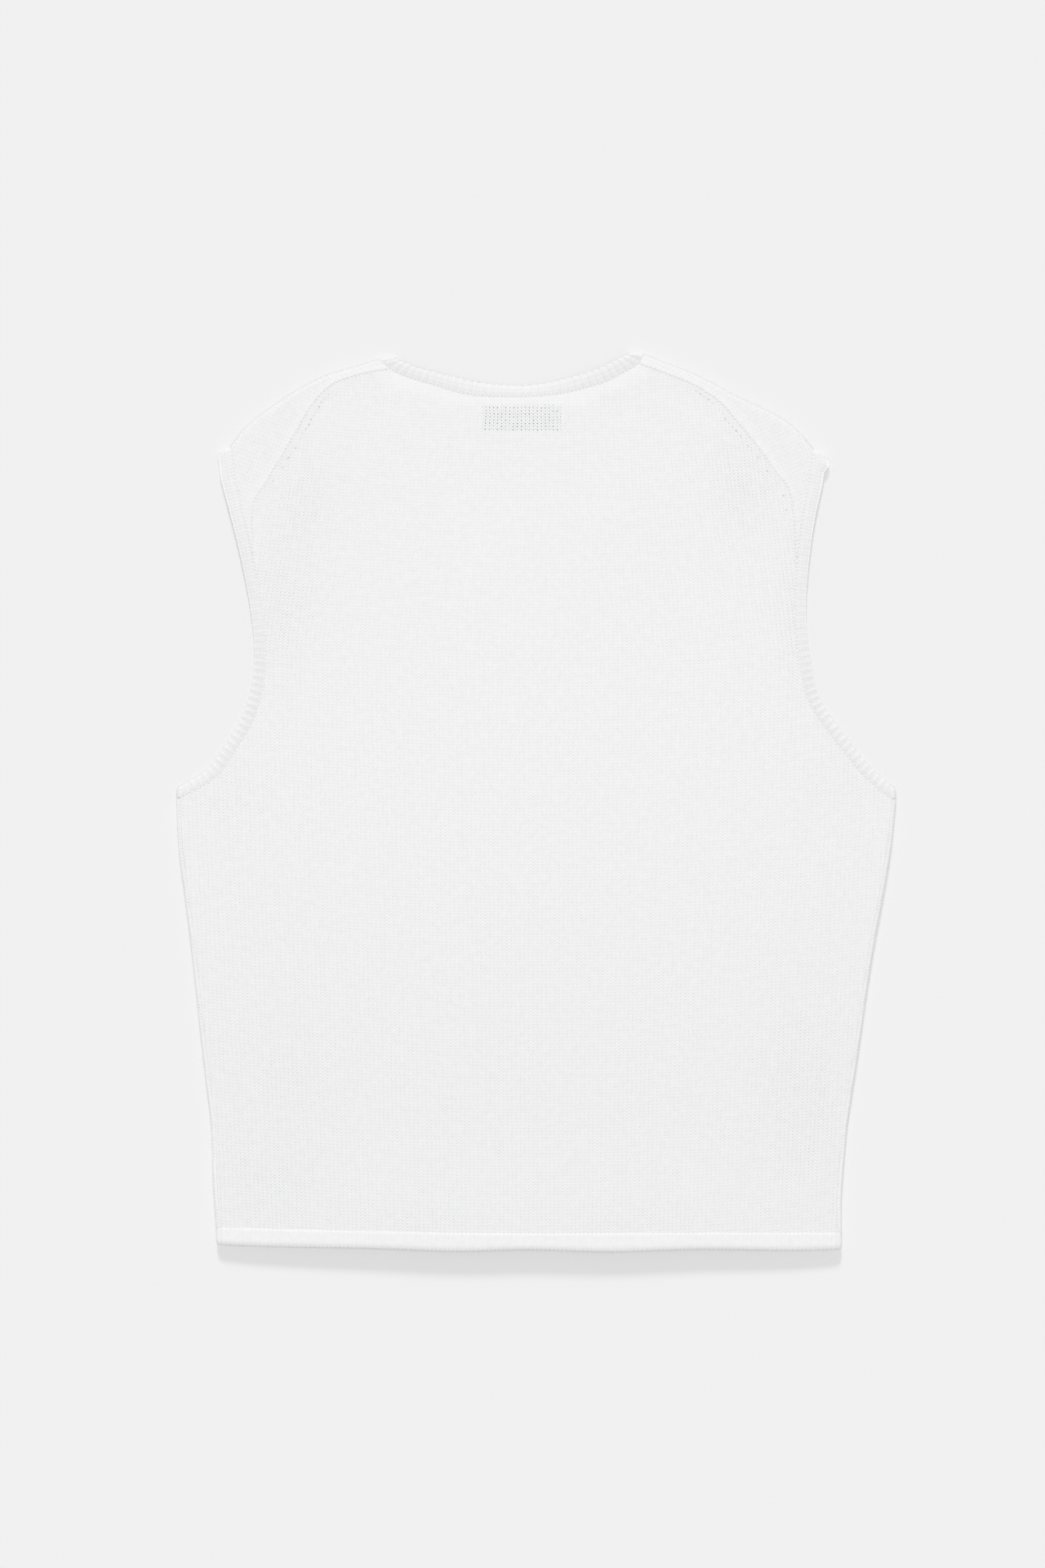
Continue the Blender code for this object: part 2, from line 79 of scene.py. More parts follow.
LABEL_SIZE = (60.0, 22.0, 0.7)
LABEL_MIDDLE = (-11.0, 288.0)
LABEL_SEEN = (-11.0, 287.0, 59.0, 19.5)   # middle and size of the part that shows dark through the stitches

SIDE_ROWS = (0.0, 0.03, 0.07, 0.12, 0.18, 0.26, 0.35, 0.45, 0.56, 0.67, 0.78, 0.89, 1.0)
ARMHOLE_ROWS = 24
ROWS_CROWDED = 0.45
V_ROW = 14
SEAM_ROW = 19
HALF_COLUMNS = 8

# (distance from the middle, height)
LEFT = {
    "side": ((240.0, -320.3), (242.4, -290.4), (244.2, -242.6), (250.3, -190.0), (260.7, -94.5),
             (268.1, -38.8), (269.9, 2.0)),
    "armhole": ((267.4, 10.9), (260.1, 15.0), (245.4, 24.2), (235.6, 37.7), (220.9, 61.5), (213.0, 86.6),
                (211.1, 114.2), (216.0, 154.0), (224.0, 192.5), (230.7, 218.8), (238.5, 250.0)),
    "shoulder": ((239.8, 260.6), (229.5, 266.0), (216.0, 282.5), (187.3, 303.3), (161.0, 318.0),
                 (137.7, 325.2), (117.0, 331.8), (106.5, 333.6)),
    "seam": ((222.2, 201.1), (208.1, 229.8), (194.0, 253.7), (176.9, 282.5), (160.3, 307.5), (137.0, 318.6),
             (111.3, 324.0)),
}
RIGHT = {
    "side": ((228.9, -324.3), (228.9, -295.2), (233.8, -237.7), (240.5, -194.9), (251.5, -118.4),
             (264.4, -46.8), (269.9, 0.5)),
    "armhole": ((267.4, 10.2), (254.6, 21.2), (244.8, 31.6), (227.1, 54.2), (211.1, 78.7), (204.4, 110.5),
                (202.3, 131.9), (202.6, 158.2), (206.9, 199.2), (213.6, 234.1), (216.9, 249.0)),
    "shoulder": ((218.3, 258.6), (206.0, 265.5), (190.3, 283.2), (165.2, 296.8), (141.4, 308.0),
                 (123.6, 318.2), (99.8, 327.4), (80.2, 335.6), (70.0, 336.9)),
    "seam": ((200.1, 208.9), (190.3, 229.8), (171.4, 258.6), (149.9, 285.4), (130.0, 305.5), (104.0, 318.0),
             (77.8, 327.6)),
}
V_POINT = (3.0, 155.8)

BACK_NECK = (  # open x, open y, linked x, linked y
    (-102.5, 329.4, -111.0, 324.3),
    (-96.0, 327.2, -103.0, 320.2),
    (-89.0, 324.3, -94.0, 316.6),
    (-75.0, 320.8, -78.0, 311.9),
    (-60.0, 317.2, -62.0, 307.2),
    (-45.0, 313.9, -46.5, 304.0),
    (-28.0, 311.9, -28.5, 303.1),
    (-10.0, 311.2, -10.0, 303.0),
    (8.0, 313.2, 9.0, 304.0),
    (22.0, 316.4, 25.0, 306.4),
    (36.0, 320.2, 40.4, 310.4),
    (47.0, 324.0, 52.5, 314.4),
    (56.0, 328.0, 62.5, 319.3),
    (62.5, 331.4, 70.5, 324.0),
    (66.5, 333.2, 77.5, 327.8),
)

HEM = (  # x, lower y, upper y
    (-240.0, -331.8, -320.0),
    (-200.0, -333.2, -321.0),
    (-120.0, -334.6, -322.7),
    (-60.0, -336.6, -324.0),
    (-6.0, -335.4, -324.2),
    (55.0, -336.9, -324.2),
    (124.0, -335.2, -323.8),
    (187.0, -336.2, -324.0),
    (229.0, -335.4, -324.0),
)

# ---- what the looks add ----------------------------------------------------------------------------------

# Stitches: pitch of the wales at each height, since the cloth is stretched to this outline
PITCHES = (  # height, wale pitch
    (-320.0, 3.15),
    (-200.0, 3.22),
    (0.0, 3.32),
    (110.0, 3.36),
    (300.0, 2.95),
)
COURSE = 2.35            # height of a course
COURSE_SAG = 0.0002      # courses rise towards the sides by this times x squared
WALE_STEPS = 4           # columns of faces in a wale
COURSE_STEP = 4          # courses in a row of faces
STEEP_COLUMNS = 3        # stations of a shoulder seam that are steep, from the armhole on
FINE_COURSE_STEP = 2     # courses in a row of faces beside the hem and the underarms
WALES_OUT = 84           # how many wales the back's lattice has on each side of the middle
COURSES = (-152, 146)    # its first course, and where they end
FINE_COURSES = ((-152, -122), (-6, 20))
FIRST_PITCH = 3.3        # pitch of its wales before they are fitted
FITTINGS = 30            # how often they are fitted, since the pitch and the outline change with the height

# Steps between two stations of the solids' lines
SIDE_STEPS = 6
ROW_STEPS = 3
COLUMN_STEPS = 6
FOLD_STEPS = 8
BENT_ROWS = 5            # stations of the sides over which the front's rows bend to the hem band
ON_BACK = 3.0            # turn beyond which the front's cloth counts as lying on the back

# Fashioning marks beside the two shoulder seams: the stretch that has them, and the part of it where they
# are close
MARKED = ((46.0, 146.0), (12.0, 158.0))
MARKS_CLOSE = ((80.0, 138.0), (106.0, 158.0))
CLOSER = 3.0             # how many times closer they are there
MARKS_INSIDE = ((60.0, 5.2), (120.0, 5.8), (158.0, 3.0))  # distance along the seam, distance inside it

# Places where the painted shade in the gaps and on the yarn is deeper (above 0) or lighter (below 0)
SHADED_PLACES = (  # x, y, reach in x, reach in y, amount
    (-194.0, 147.0, 28.0, 42.0, 0.50),
    (195.0, 150.0, 13.0, 50.0, 0.50),
    (155.0, 245.0, 24.0, 40.0, 0.42),
    (-176.0, 227.0, 22.0, 40.0, 0.36),
    (-182.0, -205.0, 26.0, 26.0, 0.16),
    (-196.0, -285.0, 34.0, 30.0, 0.22),
    (205.0, -222.0, 30.0, 60.0, 0.26),
    (72.0, -318.0, 60.0, 16.0, 0.18),
    (-90.0, -318.0, 60.0, 18.0, 0.16),
    (-230.0, 2.0, 30.0, 22.0, 0.16),
    (226.0, 12.0, 30.0, 24.0, 0.14),
    (-20.0, 190.0, 70.0, 60.0, -0.12),
    (0.0, 60.0, 110.0, 90.0, -0.05),
    (60.0, 305.0, 12.0, 6.0, 0.5),
)

# Broad soft unevenness of the laid cloth
SOFT_TROUGHS = (  # x, y, reach across, reach along, turned by degrees, height
    (-150.0, 120.0, 26.0, 120.0, 8.0, -0.35),
    (120.0, 60.0, 30.0, 150.0, -6.0, 0.30),
    (-60.0, -160.0, 28.0, 110.0, -4.0, 0.30),
    (40.0, -90.0, 24.0, 140.0, 5.0, -0.30),
    (170.0, -180.0, 24.0, 90.0, -9.0, 0.28),
    (-200.0, -60.0, 22.0, 80.0, 7.0, 0.26),
    (10.0, 210.0, 60.0, 34.0, 0.0, 0.25),
    (-175.0, 235.0, 16.0, 46.0, -32.0, 0.40),
    (152.0, 250.0, 16.0, 46.0, 34.0, 0.40),
)

# Cross-sections of the bands: across is 0 at the opening edge and 1 at the joined edge, depth is 0 at the
# outer face and 1 at the inner face, and raised is the share of a rib's height that the point takes.
TRIM_SECTION = (  # across, depth, raised
    (0.33, 1.0, 0.0), (0.10, 1.0, 0.0), (0.02, 0.88, 0.1), (0.0, 0.66, 0.3), (0.0, 0.44, 0.5),
    (0.03, 0.24, 0.8), (0.08, 0.11, 1.0), (0.14, 0.04, 1.0), (0.21, 0.0, 1.0), (0.28, 0.0, 1.0),
    (0.35, 0.0, 1.0), (0.42, 0.0, 1.0), (0.49, 0.0, 1.0), (0.56, 0.0, 1.0), (0.63, 0.0, 1.0),
    (0.70, 0.0, 1.0), (0.77, 0.0, 1.0), (0.84, 0.0, 1.0), (0.91, 0.01, 0.7), (0.97, 0.04, 0.4),
    (1.0, 0.11, 0.1), (1.0, 1.0, 0.0), (0.66, 1.0, 0.0),
)
HEM_SECTION = (  # across, depth, raised
    (0.50, 1.0, 0.0), (0.25, 0.97, 0.0), (0.12, 0.92, 0.0), (0.04, 0.80, 0.2), (0.0, 0.62, 0.5),
    (0.01, 0.44, 0.8), (0.05, 0.28, 1.0), (0.11, 0.15, 1.0), (0.19, 0.06, 0.8), (0.28, 0.01, 0.4),
    (0.38, 0.0, 0.2), (0.50, 0.0, 0.2), (0.62, 0.0, 0.2), (0.74, 0.0, 0.2), (0.86, 0.0, 0.2),
    (0.95, 0.03, 0.1), (1.0, 0.10, 0.0), (1.0, 0.92, 0.0), (0.75, 1.0, 0.0),
)
TIP_BULGE = 3.4          # how far the right armhole's trim stands out beside its tip
TIP_HEIGHT = 252.6       # at what height
TIP_REACH = 3.6          # how far up and down from there
TIP_SQUARENESS = 2.6     # and how squarely it ends
STATION = 0.9            # length of a face along a trim
GROOVE_DEPTH = 0.28      # lengthwise rows of knitting in the upper armhole trims
GROOVES = 3              # such rows across a trim
GROOVE_PLACE = 0.17      # place of the first of them across it
GROOVED = (0.1, 0.93)    # the part of its width that has them
RIB_REACH = 0.07         # share of the width by which a rib's crest stands out at the opening edge
RIBS_AT_TIP = 0.06       # ribbing of the armhole trims at the tips of the shoulders
RIBS_UPPER = 0.19        # what is added to it below about 200 mm
RIBS_LOWER = 0.75        # and below about 105 mm, down to the underarm
HEM_RELIEF = 0.12        # height of the columns of the hem bands
HEM_STEPS = 120          # stations of a hem band's edges
SEAM_RIDGE = (0.35, 2.5)   # height and reach of the back's soft ridge along the shoulder seams
LAP_RIDGE = (0.45, 3.5)    # and of the front's

# Painted shade and painted light in the yarn's colour, and sizes of the bands' edges
LAP_SHADE = 0.05         # how much darker the front's yarn looks where it lies over the back
HEM_SHADE = 0.045        # the same for the hem bands
TRIM_SHADE = 0.30        # and for the ribbed trims, less where the ribs fade and little at the tips
NECK_SHADE = 0.33        # and for the neck's, which faces the light
EDGE_PAINTED_LIGHT = 0.85        # how much lighter the yarn is painted round folds and edges: painted light against their shade
EDGE_THINS = 1.7         # by how much the upper trims are thinner at their opening edge
RIM = 0.16               # the share of a band's width that is its rim
RIM_SHADE = 0.70         # how much darker a rim looks where it faces +Y
FOLD_SHADE = 0.5         # the same for the folds of the bands
SHOULDER_SHADE = 0.9     # and for the front's folds
NECK_PAINTED_LIGHT = 0.13        # how much lighter the back's yarn is painted beside the neck trim: painted light
PEEKS = (0.2, 0.5)       # how far the lower trims show beside the upper ones below the tips, left and right
PEEK_START = (185.0, 30.0)   # from which height on, and over what stretch it grows
PEEK_END = (250.0, 8.0)      # and fades
NECK_SAG = 1.5           # how far the back of the neck sags over the open V, and from which x to which
NECK_SAGS = (-106.0, 70.0)

CLOSED = 1.028           # bands reach this share of their width, so that they close the solids' seam gap
SIDE_GAP = 0.05          # what stays of that gap at the sides

LABEL_FOLD = 0.84        # share of the label's half length where its folded ends begin
LABEL_SINGLE = 0.62      # share of its thickness where it isn't folded

TRIM_CHAIN = (1.1, 0.12)       # linking stitches: half width, and height above the cloth
SHOULDER_CHAIN = (1.25, 0.48)
CHAIN_SLANT = 16.0       # degrees by which a loop is turned to one side
CHAIN_HALF_LENGTH = 0.64       # of a loop, in stitch lengths, so that the loops overlap
CHAIN_HALF_HEIGHT = 0.5

FLOOR_HALF = 30.0        # half size of the floor, in metres, so that low views don't pass its edge
FLOOR_BELOW = 0.1        # how far it lies below the cloth, so that no two faces share a plane
OVERHEAD_WIDTH = 36.0    # how wide the lights are across, in degrees
KEY_WIDTH = 8.0
KEY_ASIDE = -0.045       # how far the key light stands to the left, as a share of its distance
CAMERA_DISTANCE = 3.264
CAMERA_AIM = (-10.4, 12.6, 5.0)   # the point of the garment's frame in the middle of the view


# ---- curves in the plane ---------------------------------------------------------------------------------

def dense_curve(points, steps=24):
    """Catmull-Rom curve through points: between two of them, the cubic that leaves and meets each along the
    chord of its neighbours, as `steps` short chords."""
    points = np.asarray(points, float)
    ends = 2 * points[[0, -1]] - points[[1, -2]]
    knots = np.vstack([ends[:1], points, ends[1:]])
    before, start, stop, after = (knots[k:len(knots) - 3 + k, None] for k in range(4))
    t = np.linspace(0, 1, steps, endpoint=False)[None, :, None]
    curve = 0.5 * (2 * start + (stop - before) * t + (2 * before - 5 * start + 4 * stop - after) * t ** 2
                   + (3 * start - before - 3 * stop + after) * t ** 3)
    return np.vstack([curve.reshape(-1, points.shape[1]), points[-1:]])


def distances(line):
    """Length along a line from its first point to each of its points."""
    return np.concatenate([[0], np.cumsum(np.linalg.norm(np.diff(line, axis=0), axis=1))])


def read_at(wanted, at, values):
    """Values given at distances `at` along a line, read at the wanted distances."""
    return np.column_stack([np.interp(wanted, at, values[:, k]) for k in range(values.shape[1])])


def read_line(line, wanted):
    """Points of a line at the wanted distances along it."""
    return read_at(wanted, distances(line), line)


def normals(line):
    """Unit normals to the left of a line, at each of its points."""
    along = np.gradient(line, axis=0)
    along /= np.linalg.norm(along, axis=1, keepdims=True)
    return np.column_stack([-along[:, 1], along[:, 0]])


def mix(a, b, t):
    """Points between a and b, at fractions t along a new first axis."""
    t = np.asarray(t, float).reshape((-1,) + (1,) * np.ndim(a))
    return (1 - t) * a + t * b


def coons(left, right, bottom, top):
    """Coons patch: the two ruled surfaces between opposite lines, added, less the bilinear one of the
    corners."""
    u = np.linspace(0, 1, len(bottom))[None, :, None]
    v = np.linspace(0, 1, len(left))[:, None, None]
    sides = (1 - u) * left[:, None] + u * right[:, None]
    ends = (1 - v) * bottom[None] + v * top[None]
    corners = (1 - v) * ((1 - u) * bottom[0] + u * bottom[-1]) + v * ((1 - u) * top[0] + u * top[-1])
    return sides + ends - corners


def smooth_step(x):
    """0 below 0, 1 above 1, and 3x^2 - 2x^3 between them."""
    x = np.clip(x, 0, 1)
    return x ** 2 * (3 - 2 * x)


def near(distance, start, fade):
    """1 up to a distance, and a smooth fall to 0 over the next stretch."""
    return 1 - smooth_step((distance - start) / fade)


def ridge(distance, height, reach):
    """Soft ridge along a line: height times exp(-(distance / reach)^2)."""
    return height * np.exp(-(distance / reach) ** 2)


def hills(x, y, table):
    """Sum of soft round hills, each exp(-(dx / reach x)^2 - (dy / reach y)^2) times its amount."""
    total = np.zeros(np.broadcast(x, y).shape)
    for middle_x, middle_y, reach_x, reach_y, amount in table:
        total = total + amount * np.exp(-((x - middle_x) / reach_x) ** 2 - ((y - middle_y) / reach_y) ** 2)
    return total


# ---- the lines that the pieces share, as in the solids ---------------------------------------------------

def hem_line(x, column):
    """Height of the lower (1) or upper (2) edge of the hem band at x."""
    line = dense_curve(np.array(HEM)[:, (0, column)])
    return np.interp(x, line[:, 0], line[:, 1])


def hem_lift(x):
    """How far the back hem stands up at x: an arch that is nothing at its two ends."""
    left, right = HEM[0][0], HEM[-1][0]
    along = (2 * x - left - right) / (right - left)
    return HEM_ARCH * np.clip(1 - along ** 2, 0, 1) ** 0.75


def neck_sag(x, across):
    """Height added to the back of the neck trim: it sags over the open V, most in the middle and at its
    opening edge."""
    left, right = NECK_SAGS
    along = (2 * x - left - right) / (right - left)
    return -NECK_SAG * np.clip(1 - along ** 2, 0, 1) ** 1.5 * (1 - np.clip(across, 0, 1)) ** 1.5


def side_lines(points, sign):
    """Line that the front folds about at one side, and its outward directions."""
    outline = dense_curve(points)
    outline = read_line(outline, np.array(SIDE_ROWS) * distances(outline)[-1])
    outward = -normals(outline)
    outward[-1] = (1, 0)
    side_fold = outline - outward * OUTSIDE
    side_fold[0][1] = hem_line(sign * side_fold[0][0], 2) + SEAM
    return side_fold, outward


def shoulder_lines(points):
    """Line that the cloth folds about at one shoulder, and its outward directions."""
    outline = dense_curve(points)
    reach = distances(outline)[-1]
    trims = (ARMHOLE_TRIM_AT_TIP, reach - NECK_TRIM_AT_SHOULDER)
    columns = np.linspace(trims[0] + SEAM, trims[1] - SEAM, HALF_COLUMNS + 1)
    stations = np.concatenate([[0, trims[0]], columns, [trims[1], reach]])
    outward = read_at(stations, distances(outline), -normals(outline))
    outward /= np.linalg.norm(outward, axis=1, keepdims=True)
    return read_line(outline, stations) - outward * OUTSIDE, outward


def armhole_lines(points, side_end, shoulder_fold):
    """Opening edge and joined edge of one armhole trim, and the edge of the panels beside it."""
    edge = dense_curve(points + (tuple(shoulder_fold[0]),))
    spread = np.linspace(0, 1, ARMHOLE_ROWS + 1)
    edge = read_line(edge, distances(edge)[-1] * ((1 - ROWS_CROWDED) * spread + ROWS_CROWDED * spread ** 2))
    widening = (ARMHOLE_TRIM_AT_TIP - ARMHOLE_TRIM) * spread[:, None] ** 4
    link = edge + normals(edge) * (ARMHOLE_TRIM + widening)
    link[0] = side_end[0], edge[0][1] - ARMHOLE_TRIM_AT_SIDE
    link[-1] = shoulder_fold[1]
    panel = link + normals(link) * SEAM
    panel[0] = link[0] - (0, SEAM)
    panel[-1] = shoulder_fold[2]
    return edge, link, panel


def v_lines(shoulder_fold, sign):
    """Opening edge and joined edge of one side of the V, and the front's edge beside it, from the point
    up."""
    point = np.array([sign * V_POINT[0], V_POINT[1]])
    edge = mix(shoulder_fold[-1], point, np.linspace(1, 0, ARMHOLE_ROWS - V_ROW + 1))
    edge = edge - normals(edge) * V_BOW * np.sin(np.linspace(0, np.pi, len(edge)))[:, None]
    link = edge - normals(edge) * V_TRIM
    link[0] = point - (0, V_TRIM * V_MITRE)
    link[-1] = shoulder_fold[-2]
    panel = link - normals(link) * SEAM
    panel[0] = link[0] - (0, SEAM * V_MITRE)
    panel[-1] = shoulder_fold[-3]
    return edge, link, panel


def seam_lines(points, armhole):
    """Shoulder seam on the back: the edge of the back panel, and that of the front beside it."""
    seam = dense_curve(points)
    seam = read_line(seam, np.linspace(0, distances(seam)[-1], HALF_COLUMNS + 1))
    seam[0] = armhole[SEAM_ROW]
    lap = seam - normals(seam) * SEAM
    along = armhole[SEAM_ROW + 1] - armhole[SEAM_ROW]
    lap[0] = armhole[SEAM_ROW] + along * SEAM / np.linalg.norm(along)
    return seam, lap


def lines_of(table, sign):
    """Every line of one half, as (distance from the middle, height), with finer steps between its
    stations."""
    side_fold, side_out = side_lines(table["side"], sign)
    shoulder_fold, shoulder_out = shoulder_lines(table["shoulder"])
    edge, link, armhole = armhole_lines(table["armhole"], side_fold[-1], shoulder_fold)
    side_fold[-1] = armhole[0]
    v_edge, v_link, v_panel = v_lines(shoulder_fold, sign)
    seam, lap = seam_lines(table["seam"], armhole)
    half = {"shoulder_fold": shoulder_fold, "shoulder_out": shoulder_out}
    half["side_fold"], half["side_out"] = (dense_curve(line, SIDE_STEPS) for line in (side_fold, side_out))
    for name, line in (("edge", edge), ("link", link), ("armhole", armhole), ("v_edge", v_edge),
                       ("v_link", v_link), ("v_panel", v_panel)):
        half[name] = dense_curve(line, ROW_STEPS)
    for name, line in (("seam", seam), ("lap", lap), ("crest", shoulder_fold[2:-2]),
                       ("crest_out", shoulder_out[2:-2])):
        half[name] = dense_curve(line, COLUMN_STEPS)
    half["crest_out"] /= np.linalg.norm(half["crest_out"], axis=1, keepdims=True)
    return half


def placed(grid, sign):
    """A grid of one half in the garment's own x and y."""
    return np.asarray(grid) * (sign, 1)


def ordered(grid, sign):
    """A grid of one half whose columns run inwards, with its columns from left to right."""
    return grid if sign < 0 else grid[:, ::-1]


LEFT_LINES = lines_of(LEFT, -1)
RIGHT_LINES = lines_of(RIGHT, 1)
HALVES = ((-1, LEFT_LINES), (1, RIGHT_LINES))


def lift(plan, turn, outward, radius, middle=OUTSIDE):
    """A point of cloth in space. turn is 0 on the lower layer and pi on the upper one, and in between the
    cloth bends outwards round a line at the middle height: outwards by radius sin(turn), up by -radius
    cos(turn)."""
    flat = plan + outward * (radius * np.sin(turn))[..., None]
    return np.concatenate([flat, (middle - radius * np.cos(turn))[..., None]], -1)


# ---- the cloth's own unevenness, and its painted shade and light -----------------------------------------

def stitch_place(x, y):
    """Wale and course number at a point of flat cloth: x over the wale pitch at that height, and the height
    less the rise of the courses to the sides, over the course pitch."""
    heights, pitches = np.array(PITCHES).T
    return np.stack([x / np.interp(y, heights, pitches), (y - COURSE_SAG * x ** 2) / COURSE], -1)


def unevenness(x, y):
    """Height of the soft troughs and ridges at a point: long hills turned by their angles."""
    total = np.zeros(np.broadcast(x, y).shape)
    for middle_x, middle_y, across, along, degrees, height in SOFT_TROUGHS:
        c, s = np.cos(np.radians(degrees)), np.sin(np.radians(degrees))
        dx, dy = x - middle_x, y - middle_y
        away = ((dx * c + dy * s) / across) ** 2 + ((dy * c - dx * s) / along) ** 2
        total = total + height * np.exp(-away)
    return total


def hem_slope(x, y):
    """Slope of the back towards its hem band, which is the derivative of its smooth step up to the band."""
    near = np.clip(1 - (y - hem_line(x, 2)) / HEM_RAMP, 0, 1)
    return (HEM_STEP + hem_lift(x)) * 6 * near * (1 - near) / HEM_RAMP


def back_rise(x, y):
    """Height of the back above where it would lie flat: a smooth step up to its hem band, and its
    unevenness."""
    near = 1 - (y - hem_line(x, 2)) / HEM_RAMP
    return smooth_step(near) * (HEM_STEP + hem_lift(x)) + unevenness(x, y)


def distance_to(x, y, line):
    """Distance from each point to a line, as the least distance to its densely spaced points."""
    points = np.column_stack([np.ravel(x), np.ravel(y)])
    least = np.full(len(points), np.inf)
    for place in line:
        least = np.minimum(least, ((points - place) ** 2).sum(1))
    return np.sqrt(least).reshape(np.shape(x))


def distance_to_both(x, y, name):
    """Distance from each point to the nearer of the two halves' lines of that name."""
    return np.minimum(*(distance_to(x, y, placed(half[name], sign)) for sign, half in HALVES))


def distance_to_neck(x, y):
    """Distance from each point to the line that the neck trim is joined on."""
    return distance_to(x, y, dense_curve(np.array(BACK_NECK)[:, 2:], 4))


def towards_hem(y):
    """0 above the middle of the garment, rising smoothly to 1 near the hem."""
    return smooth_step((80 - y) / 380)


def towards_sides(x):
    """0 in the middle of the garment, rising smoothly to 1 near its sides."""
    return smooth_step((np.abs(x) - 110) / 120)


def back_gap_shade(x, y):
    """How deep the painted shade in the gaps between stitches is, from 0 to 1. It deepens to the hem and
    the sides, and is light where a white layer lies close behind: the turned-in trim along the neck, the
    seams' allowances and the V's trim."""
    value = 0.42 + 0.12 * towards_hem(y) + 0.06 * towards_sides(x)
    value = value + 1.2 * hills(x, y, SHADED_PLACES)
    value *= 1 - 0.75 * near(distance_to_neck(x, y), 8, 5)
    value *= 1 - 0.25 * near(distance_to_both(x, y, "seam"), 0, 7)
    value *= 1 - 0.22 * near(distance_to_both(x, y, "v_link"), 4, 3)
    return np.clip(value, 0, 1)


def back_shade(x, y):
    """Painted shade on the back's yarn, from 0 to 1: down the slope to the hem band, and softly to the hem
    and the sides."""
    tone = 0.02 + 0.09 * towards_hem(y) + 0.015 * towards_sides(x)
    return np.clip(1.2 * hem_slope(x, y) + tone + 0.05 * hills(x, y, SHADED_PLACES), 0, 1)


def painted_neck_light(x, y):
    """Painted light on the back's yarn beside the neck trim."""
    return NECK_PAINTED_LIGHT * near(distance_to_neck(x, y), 5, 8)


def along_seam(x, y):
    """Three numbers for the fashioning marks at each point: the distance along the nearer shoulder seam
    from its armhole end, which runs faster where the marks are closer, the distance into the back panel
    from the line of the marks, and how fast the first one runs. The second is far away where there are no
    marks."""
    points = np.column_stack([np.ravel(x), np.ravel(y)])
    best, place = np.full(len(points), np.inf), np.zeros((len(points), 3))
    for (sign, half), marked, close in zip(HALVES, MARKED, MARKS_CLOSE):
        line = dense_curve(placed(half["seam"], sign), 4)
        at, aside = distances(line), normals(line) * sign
        for k in range(len(line)):
            away = points - line[k]
            gap = (away ** 2).sum(1)
            along = at[k] + away @ (np.array([aside[k][1], -aside[k][0]]) * sign)
            inside = away @ aside[k] - np.interp(along, *np.transpose(MARKS_INSIDE))
            inside = np.where((along > marked[0]) & (along < marked[1]), inside, 99.0)
            run = np.interp(along, (0, *close), (0, close[0], close[0] + CLOSER * (close[1] - close[0])))
            pace = np.where((along > close[0]) & (along < close[1]), CLOSER, 1.0)
            nearer = gap < best
            best = np.where(nearer, gap, best)
            place = np.where(nearer[:, None], np.column_stack([run, inside, pace]), place)
    return place


# ---- meshes ----------------------------------------------------------------------------------------------

def new_piece(name, points, faces, corner_uv, material, values=None):
    """One object from points in millimetres and arrays of faces, turned so that the signed volume is
    positive. corner_uv holds an array of UVs for each array of faces, and values the named numbers of the
    points."""
    points = np.asarray(points, float) * MM
    volume = 0.0
    for part in faces:
        for k in range(1, part.shape[1] - 1):
            triple = np.cross(points[part[:, k]], points[part[:, k + 1]])
            volume += np.einsum("ij,ij->", points[part[:, 0]], triple)
    if volume < 0:
        faces = [part[:, ::-1] for part in faces]
        corner_uv = [part[:, ::-1] for part in corner_uv]
    mesh = bpy.data.meshes.new(name)
    mesh.from_pydata(points.tolist(), [], [face for part in faces for face in part.tolist()])
    layer = mesh.uv_layers.new(name="cloth")
    layer.uv.foreach_set("vector", np.concatenate([part.reshape(-1, 2) for part in corner_uv]).ravel())
    for key, numbers in (values or {}).items():
        kind = "FLOAT" if np.ndim(numbers) == 1 else "FLOAT_VECTOR"
        made = mesh.attributes.new(key, kind, "POINT")
        made.data.foreach_set("value" if kind == "FLOAT" else "vector", np.ravel(numbers))
    mesh.shade_smooth()
    mesh.set_sharp_from_angle(angle=np.radians(60))
    mesh.materials.append(material)
    piece = bpy.data.objects.new(name, mesh)
    bpy.context.collection.objects.link(piece)
    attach(piece, "root")
    return piece


def point_uv(faces, uv):
    """UVs of the corners of each array of faces, from UVs of the points."""
    return [uv[part] for part in faces]


def shell(outer, inner, faces):
    """Closed cloth: outer faces, the same ones turned over on the inner points, and a wall round the rim,
    which is along each edge whose reverse isn't an edge too."""
    count = len(outer)
    edges = np.concatenate([np.stack([part, np.roll(part, -1, 1)], -1).reshape(-1, 2) for part in faces])
    code, reverse = edges[:, 0] * count + edges[:, 1], edges[:, 1] * count + edges[:, 0]
    rim = edges[~np.isin(code, reverse)]
    wall = np.column_stack([rim[:, 1], rim[:, 0], rim[:, 0] + count, rim[:, 1] + count])
    return np.vstack([outer, inner]), list(faces) + [part[:, ::-1] + count for part in faces] + [wall]


def grid_faces(rows, columns, first=0):
    """Four-sided faces of a grid of points."""
    index = first + np.arange(rows * columns).reshape(rows, columns)
    return np.stack([index[:-1, :-1], index[:-1, 1:], index[1:, 1:], index[1:, :-1]], -1).reshape(-1, 4)


